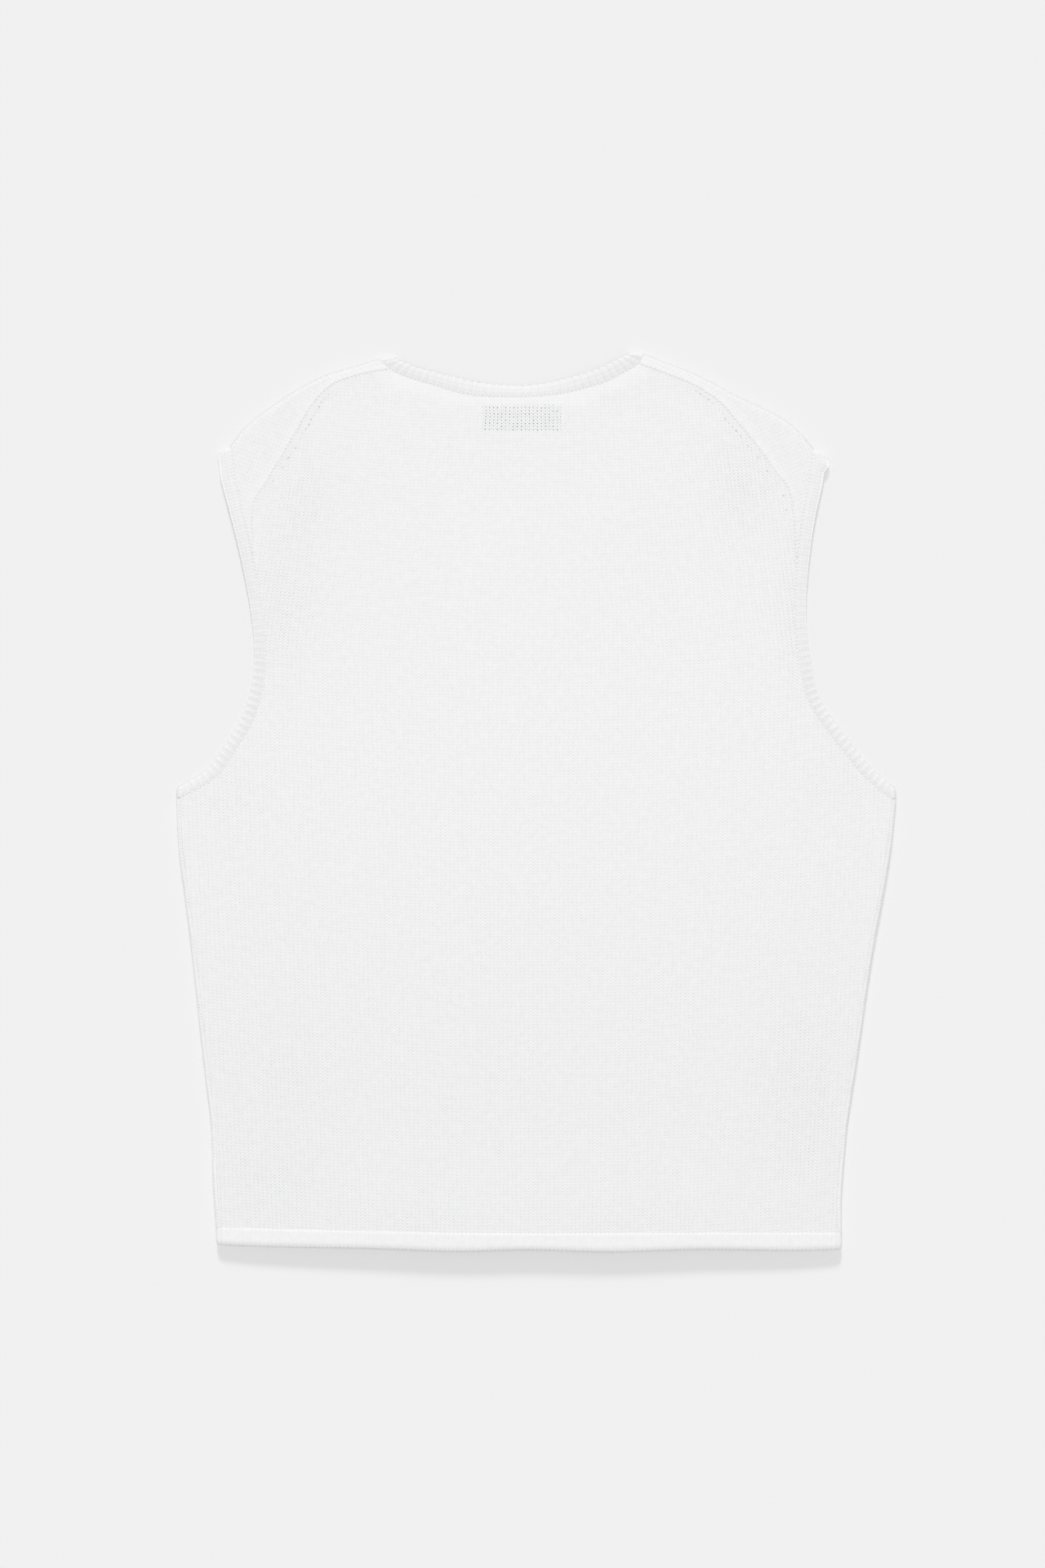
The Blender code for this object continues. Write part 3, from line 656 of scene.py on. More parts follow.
def back_lattice():
    """Points of the back in the plane, on its own wales and courses, and triangles between them. A point
    beyond the outline moves along its wale to the hem or the top, or level to the side, and points that
    meet there are one, so that the lattice ends exactly on the outline."""
    inset = SIDE_TURN + SIDE_GAP
    sides = []
    for sign, half in HALVES:
        hole = half["armhole"][:SEAM_ROW * ROW_STEPS + 1].copy()
        hole[0] = half["side_fold"][-1]
        hole[0][0] -= inset
        side = half["side_fold"][:-1] - (inset, 0)
        steep = half["seam"][1:STEEP_COLUMNS * COLUMN_STEPS + 1]
        line = placed(np.vstack([side, hole, steep]), sign)
        sides.append((np.maximum.accumulate(line[:, 1]), line[:, 0], placed(hole[0], sign)))
    neck = np.array(BACK_NECK)[:, 2:]
    neck = dense_curve(neck - normals(neck) * SEAM, 6)
    left_seam, right_seam = (placed(half["seam"][STEEP_COLUMNS * COLUMN_STEPS:], sign)
                             for sign, half in HALVES)
    neck = neck[(neck[:, 0] > left_seam[-1][0] + 2) & (neck[:, 0] < right_seam[-1][0] - 2)]
    top = np.vstack([left_seam, neck, right_seam[::-1]])
    heights, pitches = np.array(PITCHES).T

    wales = np.arange(-WALES_OUT * WALE_STEPS, WALES_OUT * WALE_STEPS + 1) / WALE_STEPS
    courses = [np.arange(*COURSES, COURSE_STEP)]
    courses += [np.arange(*fine, FINE_COURSE_STEP) for fine in FINE_COURSES]
    wale, course = np.meshgrid(wales, np.unique(np.concatenate(courses)).astype(float))
    x, y = wale * FIRST_PITCH, course * COURSE
    for _ in range(FITTINGS):
        low, high = hem_line(x, 2) + SEAM, np.interp(x, top[:, 0], top[:, 1])
        y = np.clip(course * COURSE + COURSE_SAG * x ** 2, low, high)
        x = wale * np.interp(y, heights, pitches)
        x = np.clip(x, np.interp(y, *sides[0][:2]), np.interp(y, *sides[1][:2]))
    points = np.column_stack([x.ravel(), y.ravel()])

    _, keep, same = np.unique(np.round(points, 2), axis=0, return_index=True, return_inverse=True)
    points = points[keep]
    for _, _, corner in sides:
        points[((points - corner) ** 2).sum(1).argmin()] = corner
    quads = same.reshape(-1)[grid_faces(*x.shape)]
    faces = np.concatenate([quads[:, (0, 1, 2)], quads[:, (0, 2, 3)]])
    a, b, c = (faces[:, k] for k in range(3))
    faces = faces[(a != b) & (b != c) & (c != a)]
    used, same = np.unique(faces, return_inverse=True)
    return points[used], same.reshape(-1, 3)


# ---- materials -------------------------------------------------------------------------------------------

def linear(hex_colour):
    """sRGB hex to linear: below 0.04045 a twelfth and a bit, and above it ((c + 0.055) / 1.055) ^ 2.4."""
    parts = np.array([int(hex_colour[k:k + 2], 16) for k in (1, 3, 5)]) / 255
    return tuple(np.where(parts <= 0.04045, parts / 12.92, ((parts + 0.055) / 1.055) ** 2.4))


def add_node(tree, kind, inputs=(), out=0, **settings):
    """Add a node with its settings. inputs gives its sockets' values or the sockets that they are linked
    from, in order or by name. Returns one output socket, or the node itself where out is None."""
    made = tree.nodes.new(kind)
    for key, value in settings.items():
        setattr(made, key, value)
    pairs = inputs.items() if isinstance(inputs, dict) else enumerate(inputs)
    for key, value in pairs:
        if isinstance(value, bpy.types.NodeSocket):
            tree.links.new(value, made.inputs[key])
        elif value is not None:
            made.inputs[key].default_value = value
    return made if out is None else made.outputs[out]


def new_material(name, roughness, sheen):
    """A material with one shader, whose constant numbers are set on its own sockets."""
    material = bpy.data.materials.new(name)
    material.use_nodes = True
    tree = material.node_tree
    shader = tree.nodes["Principled BSDF"]
    shader.inputs["Roughness"].default_value = roughness
    shader.inputs["IOR"].default_value = 1.5
    shader.inputs["Specular IOR Level"].default_value = 0.25
    shader.inputs["Sheen Weight"].default_value = sheen
    shader.inputs["Sheen Roughness"].default_value = 0.6
    return material, tree, shader


def add_stitches(tree, place, wander):
    """Height of plain knit, from 0 to 1. place holds the wale and course number. With t the distance from
    the middle of a wale, 0 to 1, the yarn's legs lie along course - t / 2 = whole numbers, so each stitch
    is a V. The furrow between two legs is deep at their ends, which leaves a hole, and shallow halfway, and
    it is deeper between two wales than inside one. wander bends the rows by that many stitches."""
    drift = add_node(tree, "ShaderNodeTexNoise", {"Vector": place, "Scale": 0.23, "Detail": 2.0},
                     out="Color")
    moved = add_node(tree, "ShaderNodeVectorMath", (drift, (wander, wander, 0.0), place),
                     operation="MULTIPLY_ADD")
    parts = add_node(tree, "ShaderNodeSeparateXYZ", (moved,), out=None)
    wale, course = parts.outputs["X"], parts.outputs["Y"]
    zigzag = add_node(tree, "ShaderNodeMath", (wale, 0.5), operation="PINGPONG")
    leg = add_node(tree, "ShaderNodeMath", (course, zigzag), operation="ADD")
    leg = add_node(tree, "ShaderNodeMath", (leg, 2 * np.pi), operation="MULTIPLY")
    leg = add_node(tree, "ShaderNodeMath", (leg,), operation="COSINE")
    furrow = add_node(tree, "ShaderNodeMath", (leg, 0.5, 0.5), operation="MULTIPLY_ADD")
    furrow = add_node(tree, "ShaderNodeMath", (furrow, 1.3), operation="POWER")
    end = add_node(tree, "ShaderNodeMath", (zigzag, 2 * np.pi), operation="MULTIPLY")
    end = add_node(tree, "ShaderNodeMath", (end,), operation="COSINE")
    end = add_node(tree, "ShaderNodeMath", (end,), operation="ABSOLUTE")
    deeper = add_node(tree, "ShaderNodeMath", (zigzag, 0.9, 0.35), operation="MULTIPLY_ADD")
    end = add_node(tree, "ShaderNodeMath", (end, deeper), operation="MULTIPLY")
    end = add_node(tree, "ShaderNodeMath", (end, 0.2), operation="ADD")
    furrow = add_node(tree, "ShaderNodeMath", (furrow, end), operation="MULTIPLY")
    return add_node(tree, "ShaderNodeMath", (1.0, furrow), operation="SUBTRACT")


def add_yarn(tree):
    """Fine unevenness of spun yarn, about 0.4 mm across, from 0 to 1."""
    where = add_node(tree, "ShaderNodeTexCoord", out="Object")
    return add_node(tree, "ShaderNodeTexNoise", {"Vector": where, "Scale": 2400.0, "Detail": 2.0})


def finish_yarn(tree, shader, colours, gap, gap_shade, height):
    """Yarn colour with painted shade in the gaps and from the shade attribute, painted light from the light
    attribute, an unevenness of tone from stitch to stitch, and the height in millimetres as bump."""
    where = add_node(tree, "ShaderNodeTexCoord", out="Object")
    slow = add_node(tree, "ShaderNodeTexNoise", {"Vector": where, "Scale": 240.0, "Detail": 2.0})
    tone = add_node(tree, "ShaderNodeMapRange", (slow, 0.3, 0.7, 0.0, 1.0))
    # Painted shade from the shade attribute, added to the gaps' painted shade
    painted_shade = add_node(tree, "ShaderNodeAttribute", out="Fac", attribute_name="shade")
    gap = add_node(tree, "ShaderNodeMath", (gap, painted_shade), operation="ADD", use_clamp=True)
    yarn = add_node(tree, "ShaderNodeMix",
                    {0: tone, 6: (*colours.yarn_shade, 1.0), 7: (*colours.yarn, 1.0)}, 2, data_type="RGBA")
    # Painted light from the light attribute: the yarn mixed towards a lighter colour
    light = add_node(tree, "ShaderNodeAttribute", out="Fac", attribute_name="light")
    yarn = add_node(tree, "ShaderNodeMix", {0: light, 6: yarn, 7: (*colours.yarn_painted_light, 1.0)}, 2,
                    data_type="RGBA")
    colour = add_node(tree, "ShaderNodeMix", {0: gap, 6: yarn, 7: gap_shade}, 2, data_type="RGBA")
    tree.links.new(colour, shader.inputs["Base Color"])
    bump = add_node(tree, "ShaderNodeBump", {"Strength": 1.0, "Distance": MM, "Height": height})
    tree.links.new(bump, shader.inputs["Normal"])


def add_label_behind(tree, where):
    """1 where the label lies behind the knit, and 0 elsewhere: the place from its middle, over its half
    size, is below 1 in both directions."""
    middle = (LABEL_SEEN[0] * MM, LABEL_SEEN[1] * MM, 0.0)
    aside = add_node(tree, "ShaderNodeVectorMath", (where, middle), operation="SUBTRACT")
    half = (2 / LABEL_SEEN[2] / MM, 2 / LABEL_SEEN[3] / MM, 0.0)
    aside = add_node(tree, "ShaderNodeVectorMath", (aside, half), operation="MULTIPLY")
    aside = add_node(tree, "ShaderNodeVectorMath", (aside,), operation="ABSOLUTE")
    aside = add_node(tree, "ShaderNodeSeparateXYZ", (aside,), out=None)
    aside = add_node(tree, "ShaderNodeMath", (aside.outputs["X"], aside.outputs["Y"]), operation="MAXIMUM")
    return add_node(tree, "ShaderNodeMath", (aside, 1.0), operation="LESS_THAN")


def add_fashioning_marks(tree, where, sizes):
    """Painted shade in the small holes of the narrowing stitches, from 0 to 1. The seam attribute holds the
    distances along and inside the shoulder seam, and a hole lies at each whole spacing along it, a little
    off the line."""
    holes = add_node(tree, "ShaderNodeAttribute", out="Vector", attribute_name="seam")
    holes = add_node(tree, "ShaderNodeSeparateXYZ", (holes,), out=None)
    along = add_node(tree, "ShaderNodeMath", (holes.outputs["X"], sizes.mark_spacing / MM / 2),
                     operation="PINGPONG")
    along = add_node(tree, "ShaderNodeMath", (along, holes.outputs["Z"]), operation="DIVIDE")
    bent = add_node(tree, "ShaderNodeTexNoise", {"Vector": where, "Scale": 150.0, "Detail": 1.0})
    aslant = add_node(tree, "ShaderNodeMath", (bent, 3.2, holes.outputs["Y"]), operation="MULTIPLY_ADD")
    aslant = add_node(tree, "ShaderNodeMath", (aslant, 1.6), operation="SUBTRACT")
    reach = add_node(tree, "ShaderNodeCombineXYZ", (along, aslant, 0.0))
    reach = add_node(tree, "ShaderNodeVectorMath", (reach, (0.75, 1.3, 0.0)), operation="MULTIPLY")
    reach = add_node(tree, "ShaderNodeVectorMath", (reach,), "Value", operation="LENGTH")
    mark = add_node(tree, "ShaderNodeMapRange", (reach, 1.35, 0.1, 0.0, 0.75),
                    interpolation_type="SMOOTHSTEP")
    faint = add_node(tree, "ShaderNodeTexNoise", {"Vector": where, "Scale": 260.0, "Detail": 1.0})
    faint = add_node(tree, "ShaderNodeMapRange", (faint, 0.36, 0.56, 0.15, 1.0))
    return add_node(tree, "ShaderNodeMath", (mark, faint), operation="MULTIPLY")


def knit_material(name, colours, sizes):
    """Combed cotton in plain knit, 7 gauge: soft matt yarn whose loops leave small gaps, with painted shade
    in them. The label behind it shows only through those gaps."""
    material, tree, shader = new_material(name, 0.95, 0.03)
    place = add_node(tree, "ShaderNodeUVMap", uv_map="cloth")
    stitch = add_stitches(tree, place, 0.5)
    # Painted shade in the gaps between the stitches, scaled by the attribute that says how deep it is
    gap = add_node(tree, "ShaderNodeMapRange", (stitch, 0.80, 0.1, 0.0, 0.85),
                   interpolation_type="SMOOTHSTEP")
    gap_shade_amount = add_node(tree, "ShaderNodeAttribute", out="Fac", attribute_name="gap_shade_amount")
    where = add_node(tree, "ShaderNodeTexCoord", out="Object")
    label, mark = add_label_behind(tree, where), add_fashioning_marks(tree, where, sizes)
    loose = add_node(tree, "ShaderNodeTexNoise", {"Vector": place, "Scale": 0.5, "Detail": 2.0})
    loose = add_node(tree, "ShaderNodeMapRange", (loose, 0.3, 0.7, 0.5, 1.5))
    gap = add_node(tree, "ShaderNodeMath", (gap, gap_shade_amount), operation="MULTIPLY")
    gap = add_node(tree, "ShaderNodeMath", (gap, loose), operation="MULTIPLY")
    hole = add_node(tree, "ShaderNodeMapRange", (stitch, 0.58, 0.08, 0.0, 1.0),
                    interpolation_type="SMOOTHSTEP")
    uneven = add_node(tree, "ShaderNodeTexNoise", {"Vector": place, "Scale": 1.1, "Detail": 1.0})
    uneven = add_node(tree, "ShaderNodeMapRange", (uneven, 0.38, 0.58, 0.12, 1.0))
    hole = add_node(tree, "ShaderNodeMath", (hole, uneven), operation="MULTIPLY")
    hole = add_node(tree, "ShaderNodeMath", (hole, label), operation="MULTIPLY")
    gap = add_node(tree, "ShaderNodeMath", (gap, hole), operation="MAXIMUM")
    gap = add_node(tree, "ShaderNodeMath", (gap, mark), operation="MAXIMUM")
    shade = add_node(tree, "ShaderNodeMix",
                     {0: label, 6: (*colours.gap, 1.0), 7: (*colours.label_gap, 1.0)}, 2, data_type="RGBA")
    shade = add_node(tree, "ShaderNodeMix", {0: mark, 6: shade, 7: (*colours.mark, 1.0)}, 2,
                     data_type="RGBA")
    height = add_node(tree, "ShaderNodeMath", (stitch, sizes.stitch_relief / MM), operation="MULTIPLY")
    height = add_node(tree, "ShaderNodeMath", (add_yarn(tree), 0.05, height), operation="MULTIPLY_ADD")
    finish_yarn(tree, shader, colours, gap, shade, height)
    return material


def rib_material(name, colours, sizes, stitches, crease_shade, smooth_middle=0.0):
    """Cotton rib: the same yarn in raised columns, with painted shade in the creases between them and in
    small gaps where the band is linked on. UV holds the number of the rib and the place across the band, 0
    at its opening edge. A tube is smooth in its middle, where its stitches hardly show."""
    material, tree, shader = new_material(name, 0.95, 0.03)
    place = add_node(tree, "ShaderNodeUVMap", uv_map="cloth")
    parts = add_node(tree, "ShaderNodeSeparateXYZ", (place,), out=None)
    ribbing = add_node(tree, "ShaderNodeAttribute", out="Fac", attribute_name="ribbing")
    turned_place = add_node(tree, "ShaderNodeCombineXYZ", (parts.outputs["Y"], parts.outputs["X"], 0.0))
    across = add_node(tree, "ShaderNodeVectorMath", (place, (*stitches, 0.0)), operation="MULTIPLY")
    along = add_node(tree, "ShaderNodeVectorMath", (turned_place, (GROOVES, 2.3, 0.0)),
                     operation="MULTIPLY")
    ribbed = add_node(tree, "ShaderNodeMath", (ribbing, 0.6), operation="GREATER_THAN")
    scaled = add_node(tree, "ShaderNodeMix", {0: ribbed, 4: along, 5: across}, 1, data_type="VECTOR")
    stitch = add_stitches(tree, scaled, 0.3)
    # Painted shade in the creases between the ribs, deepest towards the joined edge
    crease = add_node(tree, "ShaderNodeMath", (parts.outputs["X"], 0.5), operation="PINGPONG")
    crease = add_node(tree, "ShaderNodeMapRange", (crease, 0.20, 0.02, 0.0, 1.0),
                      interpolation_type="SMOOTHSTEP")
    base = add_node(tree, "ShaderNodeMapRange", (parts.outputs["Y"], 0.45, 0.98, 0.25, 1.0))
    crease = add_node(tree, "ShaderNodeMath", (crease, base), operation="MULTIPLY")
    crease = add_node(tree, "ShaderNodeMath", (crease, ribbing), operation="MULTIPLY")
    crease = add_node(tree, "ShaderNodeMath", (crease, crease_shade), operation="MULTIPLY")
    middle = add_node(tree, "ShaderNodeMath", (parts.outputs["Y"], 0.45), operation="SUBTRACT")
    middle = add_node(tree, "ShaderNodeMath", (middle,), operation="ABSOLUTE")
    middle = add_node(tree, "ShaderNodeMapRange", (middle, 0.20, 0.42, 1 - smooth_middle, 1.0))
    stitch = add_node(tree, "ShaderNodeMix", {0: middle, 2: 0.8, 3: stitch}, data_type="FLOAT")
    gap = add_node(tree, "ShaderNodeMapRange", (stitch, 0.50, 0.10, 0.0, 0.40),
                   interpolation_type="SMOOTHSTEP")
    gap = add_node(tree, "ShaderNodeMath", (gap, crease), operation="MAXIMUM")
    height = add_node(tree, "ShaderNodeMath", (stitch, sizes.stitch_relief / MM), operation="MULTIPLY")
    height = add_node(tree, "ShaderNodeMath", (add_yarn(tree), 0.05, height), operation="MULTIPLY_ADD")
    finish_yarn(tree, shader, colours, gap, (*colours.gap, 1.0), height)
    return material


def label_material(name, colours):
    """Woven polyester satin: fine even threads, about 0.35 mm apart, with a faint gloss."""
    material, tree, shader = new_material(name, 0.55, 0.1)
    place = add_node(tree, "ShaderNodeUVMap", uv_map="cloth")
    threads = add_node(tree, "ShaderNodeTexWave", {"Vector": place, "Scale": 28.0, "Distortion": 0.4},
                       bands_direction="Y")
    across = add_node(tree, "ShaderNodeTexWave", {"Vector": place, "Scale": 14.0, "Distortion": 0.2},
                      bands_direction="X")
    weave = add_node(tree, "ShaderNodeMath", (threads, across), operation="MULTIPLY")
    dark = tuple(0.6 * c for c in colours.label)
    colour = add_node(tree, "ShaderNodeMix", {0: weave, 6: (*dark, 1.0), 7: (*colours.label, 1.0)}, 2,
                      data_type="RGBA")
    tree.links.new(colour, shader.inputs["Base Color"])
    bump = add_node(tree, "ShaderNodeBump", {"Strength": 0.6, "Distance": 0.08 * MM, "Height": weave})
    tree.links.new(bump, shader.inputs["Normal"])
    return material


def yarn_material(name, colours):
    """Linking yarn: the same combed cotton, a little tighter, so its chain shows as a light line, with
    painted shade that deepens towards the rim of each loop.
    """
    material, tree, shader = new_material(name, 0.9, 0.03)
    yarn = add_yarn(tree)
    place = add_node(tree, "ShaderNodeUVMap", uv_map="cloth")
    reach = add_node(tree, "ShaderNodeVectorMath", (place,), "Value", operation="LENGTH")
    loop_shade = add_node(tree, "ShaderNodeMapRange", (reach, 0.45, 1.0, 0.20, 0.45),
                       interpolation_type="SMOOTHSTEP")
    colour = add_node(tree, "ShaderNodeMix",
                      {0: yarn, 6: (*colours.yarn_shade, 1.0), 7: (*colours.yarn, 1.0)}, 2,
                      data_type="RGBA")
    colour = add_node(tree, "ShaderNodeMix", {0: loop_shade, 6: colour, 7: (*colours.gap, 1.0)}, 2,
                      data_type="RGBA")
    tree.links.new(colour, shader.inputs["Base Color"])
    bump = add_node(tree, "ShaderNodeBump", {"Strength": 1.0, "Distance": 0.05 * MM, "Height": yarn})
    tree.links.new(bump, shader.inputs["Normal"])
    return material


def material_once(name, make, *facts):
    """The material of that name, made only if it isn't there yet."""
    return bpy.data.materials.get(name) or make(name, *facts)


# ---- bands -----------------------------------------------------------------------------------------------

def band(name, run, section, material, pitch, rib_height, closed, outside=OUTSIDE, cloth=CLOTH, rise=None,
         thins=0.0, least_shade=0.0):
    """A band of cloth: the section carried along stations. run holds, for each station, the open edge, the
    joined edge, their outward directions, the turn from lower to upper layer, the ribbing from 0 to 1 and
    the length along the band. A rib raises the outer points by its height times (1 + cos(2 pi length /
    pitch)) / 2, and on the lower layer the same is cut in as grooves. Where the ribbing fades, rows of
    knitting along the band are grooves instead. Round its open edge and its folds the yarn gets painted
    light, or painted shade where that faces +Y. On the upper layer the outer face falls by thins times
    (1 - across)^2 times (1 - depth), and rise, a function of x and across, is added to the height. The
    painted shade is at least the given least shade times the ribbing to the power 0.7."""
    open_edge, joined, open_out, joined_out, turn, ribbing, along = run
    across, depth, raised = np.array(section).T
    ribs = along / pitch
    if closed:
        ribs *= np.round(ribs[-1]) / ribs[-1]
        ribs, last = ribs[:-1], ribs[-1]
        open_edge, joined, open_out, joined_out, turn, ribbing = (
            part[:-1] for part in (open_edge, joined, open_out, joined_out, turn, ribbing))
    crest = (0.5 - 0.5 * np.cos(2 * np.pi * ribs)) ** 0.8
    upper = turn / np.pi
    wave = rib_height * ribbing * (crest - (1 - upper))
    out = RIB_REACH * (ribbing * crest)[:, None] * (1 - across[None]) * (depth[None] < 0.9)
    share = CLOSED * across[None] - out
    rows = np.maximum(np.cos(2 * np.pi * GROOVES * (across - GROOVE_PLACE)), 0) ** 3
    rows *= (across > GROOVED[0]) * (across < GROOVED[1])
    groove = GROOVE_DEPTH * (1 - ribbing)[:, None] * rows[None]
    fall = thins * upper[:, None] * ((1 - across) ** 2 * (1 - depth))[None]
    radius = outside - depth[None] * cloth + raised[None] * (wave[:, None] - groove) - fall
    share = share[..., None]
    plan = open_edge[:, None] * (1 - share) + joined[:, None] * share
    outward = open_out[:, None] * (1 - share) + joined_out[:, None] * share
    outward /= np.maximum(np.linalg.norm(outward, axis=2, keepdims=True), 1e-9)
    points = lift(plan, np.broadcast_to(turn[:, None], radius.shape), outward, radius, outside)
    if rise is not None:
        points[..., 2] += rise(points[..., 0], across[None]) * (turn > np.pi - 0.01)[:, None]

    # Painted shade where rims and folds face +Y, painted light round the others, and the least painted
    # shade
    facing = (open_edge - joined) / np.linalg.norm(open_edge - joined, axis=1, keepdims=True)
    rim = (np.clip(1 - across / RIM, 0, 1) * (depth < 0.95))[None]
    bend = np.sin(turn)[:, None]
    away = np.maximum(facing[:, 1:], 0)
    over = np.maximum(outward[..., 1], 0)
    tone = least_shade * ribbing[:, None] ** 0.7
    shade = np.maximum(np.maximum(RIM_SHADE * rim * away, FOLD_SHADE * bend * over), tone)
    light = EDGE_PAINTED_LIGHT * np.maximum(rim * (1 - away), bend ** 3 * (1 - over))

    count, size = radius.shape
    index = np.arange(count * size).reshape(count, size)
    here, there = (index, np.roll(index, -1, 0)) if closed else (index[:-1], index[1:])
    start, stop = (ribs, np.append(ribs[1:], last)) if closed else (ribs[:-1], ribs[1:])
    faces = [np.stack([here, np.roll(here, -1, 1), np.roll(there, -1, 1), there], -1).reshape(-1, 4)]
    side, next_side = (np.broadcast_to(part[None], here.shape) for part in (across, np.roll(across, -1)))
    start, stop = (np.broadcast_to(part[:, None], here.shape) for part in (start, stop))
    corners = [np.stack([start, side], -1), np.stack([start, next_side], -1),
               np.stack([stop, next_side], -1), np.stack([stop, side], -1)]
    corner_uv = [np.stack(corners, -2).reshape(-1, 4, 2)]
    if not closed:
        for k, ring in ((0, index[0][::-1]), (-1, index[-1])):
            faces.append(ring[None])
            ends = np.column_stack([np.full(size, ribs[k]), across if k else across[::-1]])
            corner_uv.append(ends[None])
    return new_piece(name, points.reshape(-1, 3), faces, corner_uv, material,
                     {"ribbing": np.repeat(ribbing, size), "shade": shade.ravel(), "light": light.ravel()})


def station_run(stretches, length=STATION):
    """Stations about this length apart along a band. A stretch holds the open edge, the joined edge, the
    outward directions of both, the turn and the ribbing at its own points. The last stretch ends where the
    first began."""
    parts = [np.concatenate([np.asarray(stretch[k], float) for stretch in stretches]) for k in range(6)]
    middle = (parts[0] + parts[1]) / 2
    outward = (parts[2] + parts[3]) / 2
    place = np.column_stack([middle + outward * OUTSIDE * np.sin(parts[4])[:, None],
                             -OUTSIDE * np.cos(parts[4])])
    at = distances(place)
    wanted = np.linspace(0, at[-1], int(round(at[-1] / length)) + 1)
    found = [read_at(wanted, at, part if part.ndim == 2 else part[:, None]) for part in parts]
    return [*found[:4], found[4][:, 0], found[5][:, 0], wanted]


def stretch(open_edge, joined, turn, ribbing):
    """A part of a band that lies flat, with no outward direction."""
    still = np.zeros((len(open_edge), 2))
    fill = np.ones(len(open_edge))
    return open_edge, joined, still, still, turn * fill, ribbing * fill


def turned(open_end, joined_end, open_out, joined_out, up, ribbing):
    """A half turn from the lower to the upper layer, or back."""
    turn = np.linspace(0, np.pi, 2 * FOLD_STEPS + 1)
    turn = turn if up else turn[::-1]
    fill = np.ones((len(turn), 1))
    return (fill * open_end, fill * joined_end, fill * open_out, fill * joined_out, turn,
            ribbing * fill[:, 0])


# ---- settings --------------------------------------------------------------------------------------------

class VestSizes(bpy.types.PropertyGroup):
    """Sizes of the knitting that a user would change."""
    rib_pitch: bpy.props.FloatProperty(
        name="Rib Pitch", description="Distance from one rib of the trims to the next",
        default=5.5 * MM, unit="LENGTH", precision=4)
    rib_height: bpy.props.FloatProperty(
        name="Rib Height", description="How far the ribs of the trims stand up",
        default=0.21 * MM, unit="LENGTH", precision=5)
    wale_relief: bpy.props.FloatProperty(
        name="Wale Relief", description="Height of the plain knit's columns above the furrows between them",
        default=0.16 * MM, unit="LENGTH", precision=5)
    stitch_relief: bpy.props.FloatProperty(
        name="Stitch Relief", description="Height of the yarn above the gaps of a stitch",
        default=0.10 * MM, unit="LENGTH", precision=5)
    mark_spacing: bpy.props.FloatProperty(
        name="Mark Spacing", description="Distance from one narrowing stitch to the next along a shoulder",
        default=12.0 * MM, unit="LENGTH", precision=4)
    chain_stitch: bpy.props.FloatProperty(
        name="Chain Stitch", description="Length of one linking stitch along the seams",
        default=2.9 * MM, unit="LENGTH", precision=4)


class VestColours(bpy.types.PropertyGroup):
    """Colours that a user would change."""
    yarn: bpy.props.FloatVectorProperty(
        name="Yarn", description="The yarn on top of the stitches", subtype="COLOR", size=3, min=0, max=1,
        default=linear("#EBEBEB"))
    yarn_shade: bpy.props.FloatVectorProperty(
        name="Yarn Shade", description="The yarn where its tone is a little lower", subtype="COLOR", size=3,
        min=0, max=1, default=linear("#E7E7E7"))
    # Painted light: a lighter yarn colour mixed in round folds and edges, against their shade
    yarn_painted_light: bpy.props.FloatVectorProperty(
        name="Yarn at Edges", description="The yarn round edges, where no gaps show and it looks lighter",
        subtype="COLOR", size=3, min=0, max=1, default=linear("#FCFCFC"))
    # Painted shade: the gaps' colour stands in for the shade inside the knit, between its loops
    gap: bpy.props.FloatVectorProperty(
        name="Gaps", description="What shows in the gaps between the stitches", subtype="COLOR", size=3,
        min=0, max=1, default=linear("#CDCDCF"))
    # Painted shade: the colour of the shade in the holes of the narrowing stitches
    mark: bpy.props.FloatVectorProperty(
        name="Fashioning Marks", description="What shows in the small holes of the narrowing stitches",
        subtype="COLOR", size=3, min=0, max=1, default=linear("#A8A8AC"))
    label_gap: bpy.props.FloatVectorProperty(
        name="Label in Gaps", description="What shows in the gaps over the label", subtype="COLOR", size=3,
        min=0, max=1, default=linear("#3F4664"))
    label: bpy.props.FloatVectorProperty(
        name="Label", description="The blank woven label", subtype="COLOR", size=3, min=0, max=1,
        default=linear("#3E4553"))
    floor: bpy.props.FloatVectorProperty(
        name="Floor", description="The plain pale floor", subtype="COLOR", size=3, min=0, max=1,
        default=linear("#E6E6E6"))


class VestLights(bpy.types.PropertyGroup):
    """Studio light that a user would change."""
    overhead: bpy.props.FloatProperty(
        name="Overhead", description="Strength of the broad light from straight above", default=1.30)
    key: bpy.props.FloatProperty(
        name="Key", description="Strength of the low light from beyond the neck", default=1.46)
    key_height: bpy.props.FloatProperty(
        name="Key Height", description="Height of the key light above the surface",
        default=np.radians(23.0), subtype="ANGLE")
    fill: bpy.props.FloatProperty(
        name="Fill", description="Strength of the even light from all round", default=0.511)


# ---- operators -------------------------------------------------------------------------------------------

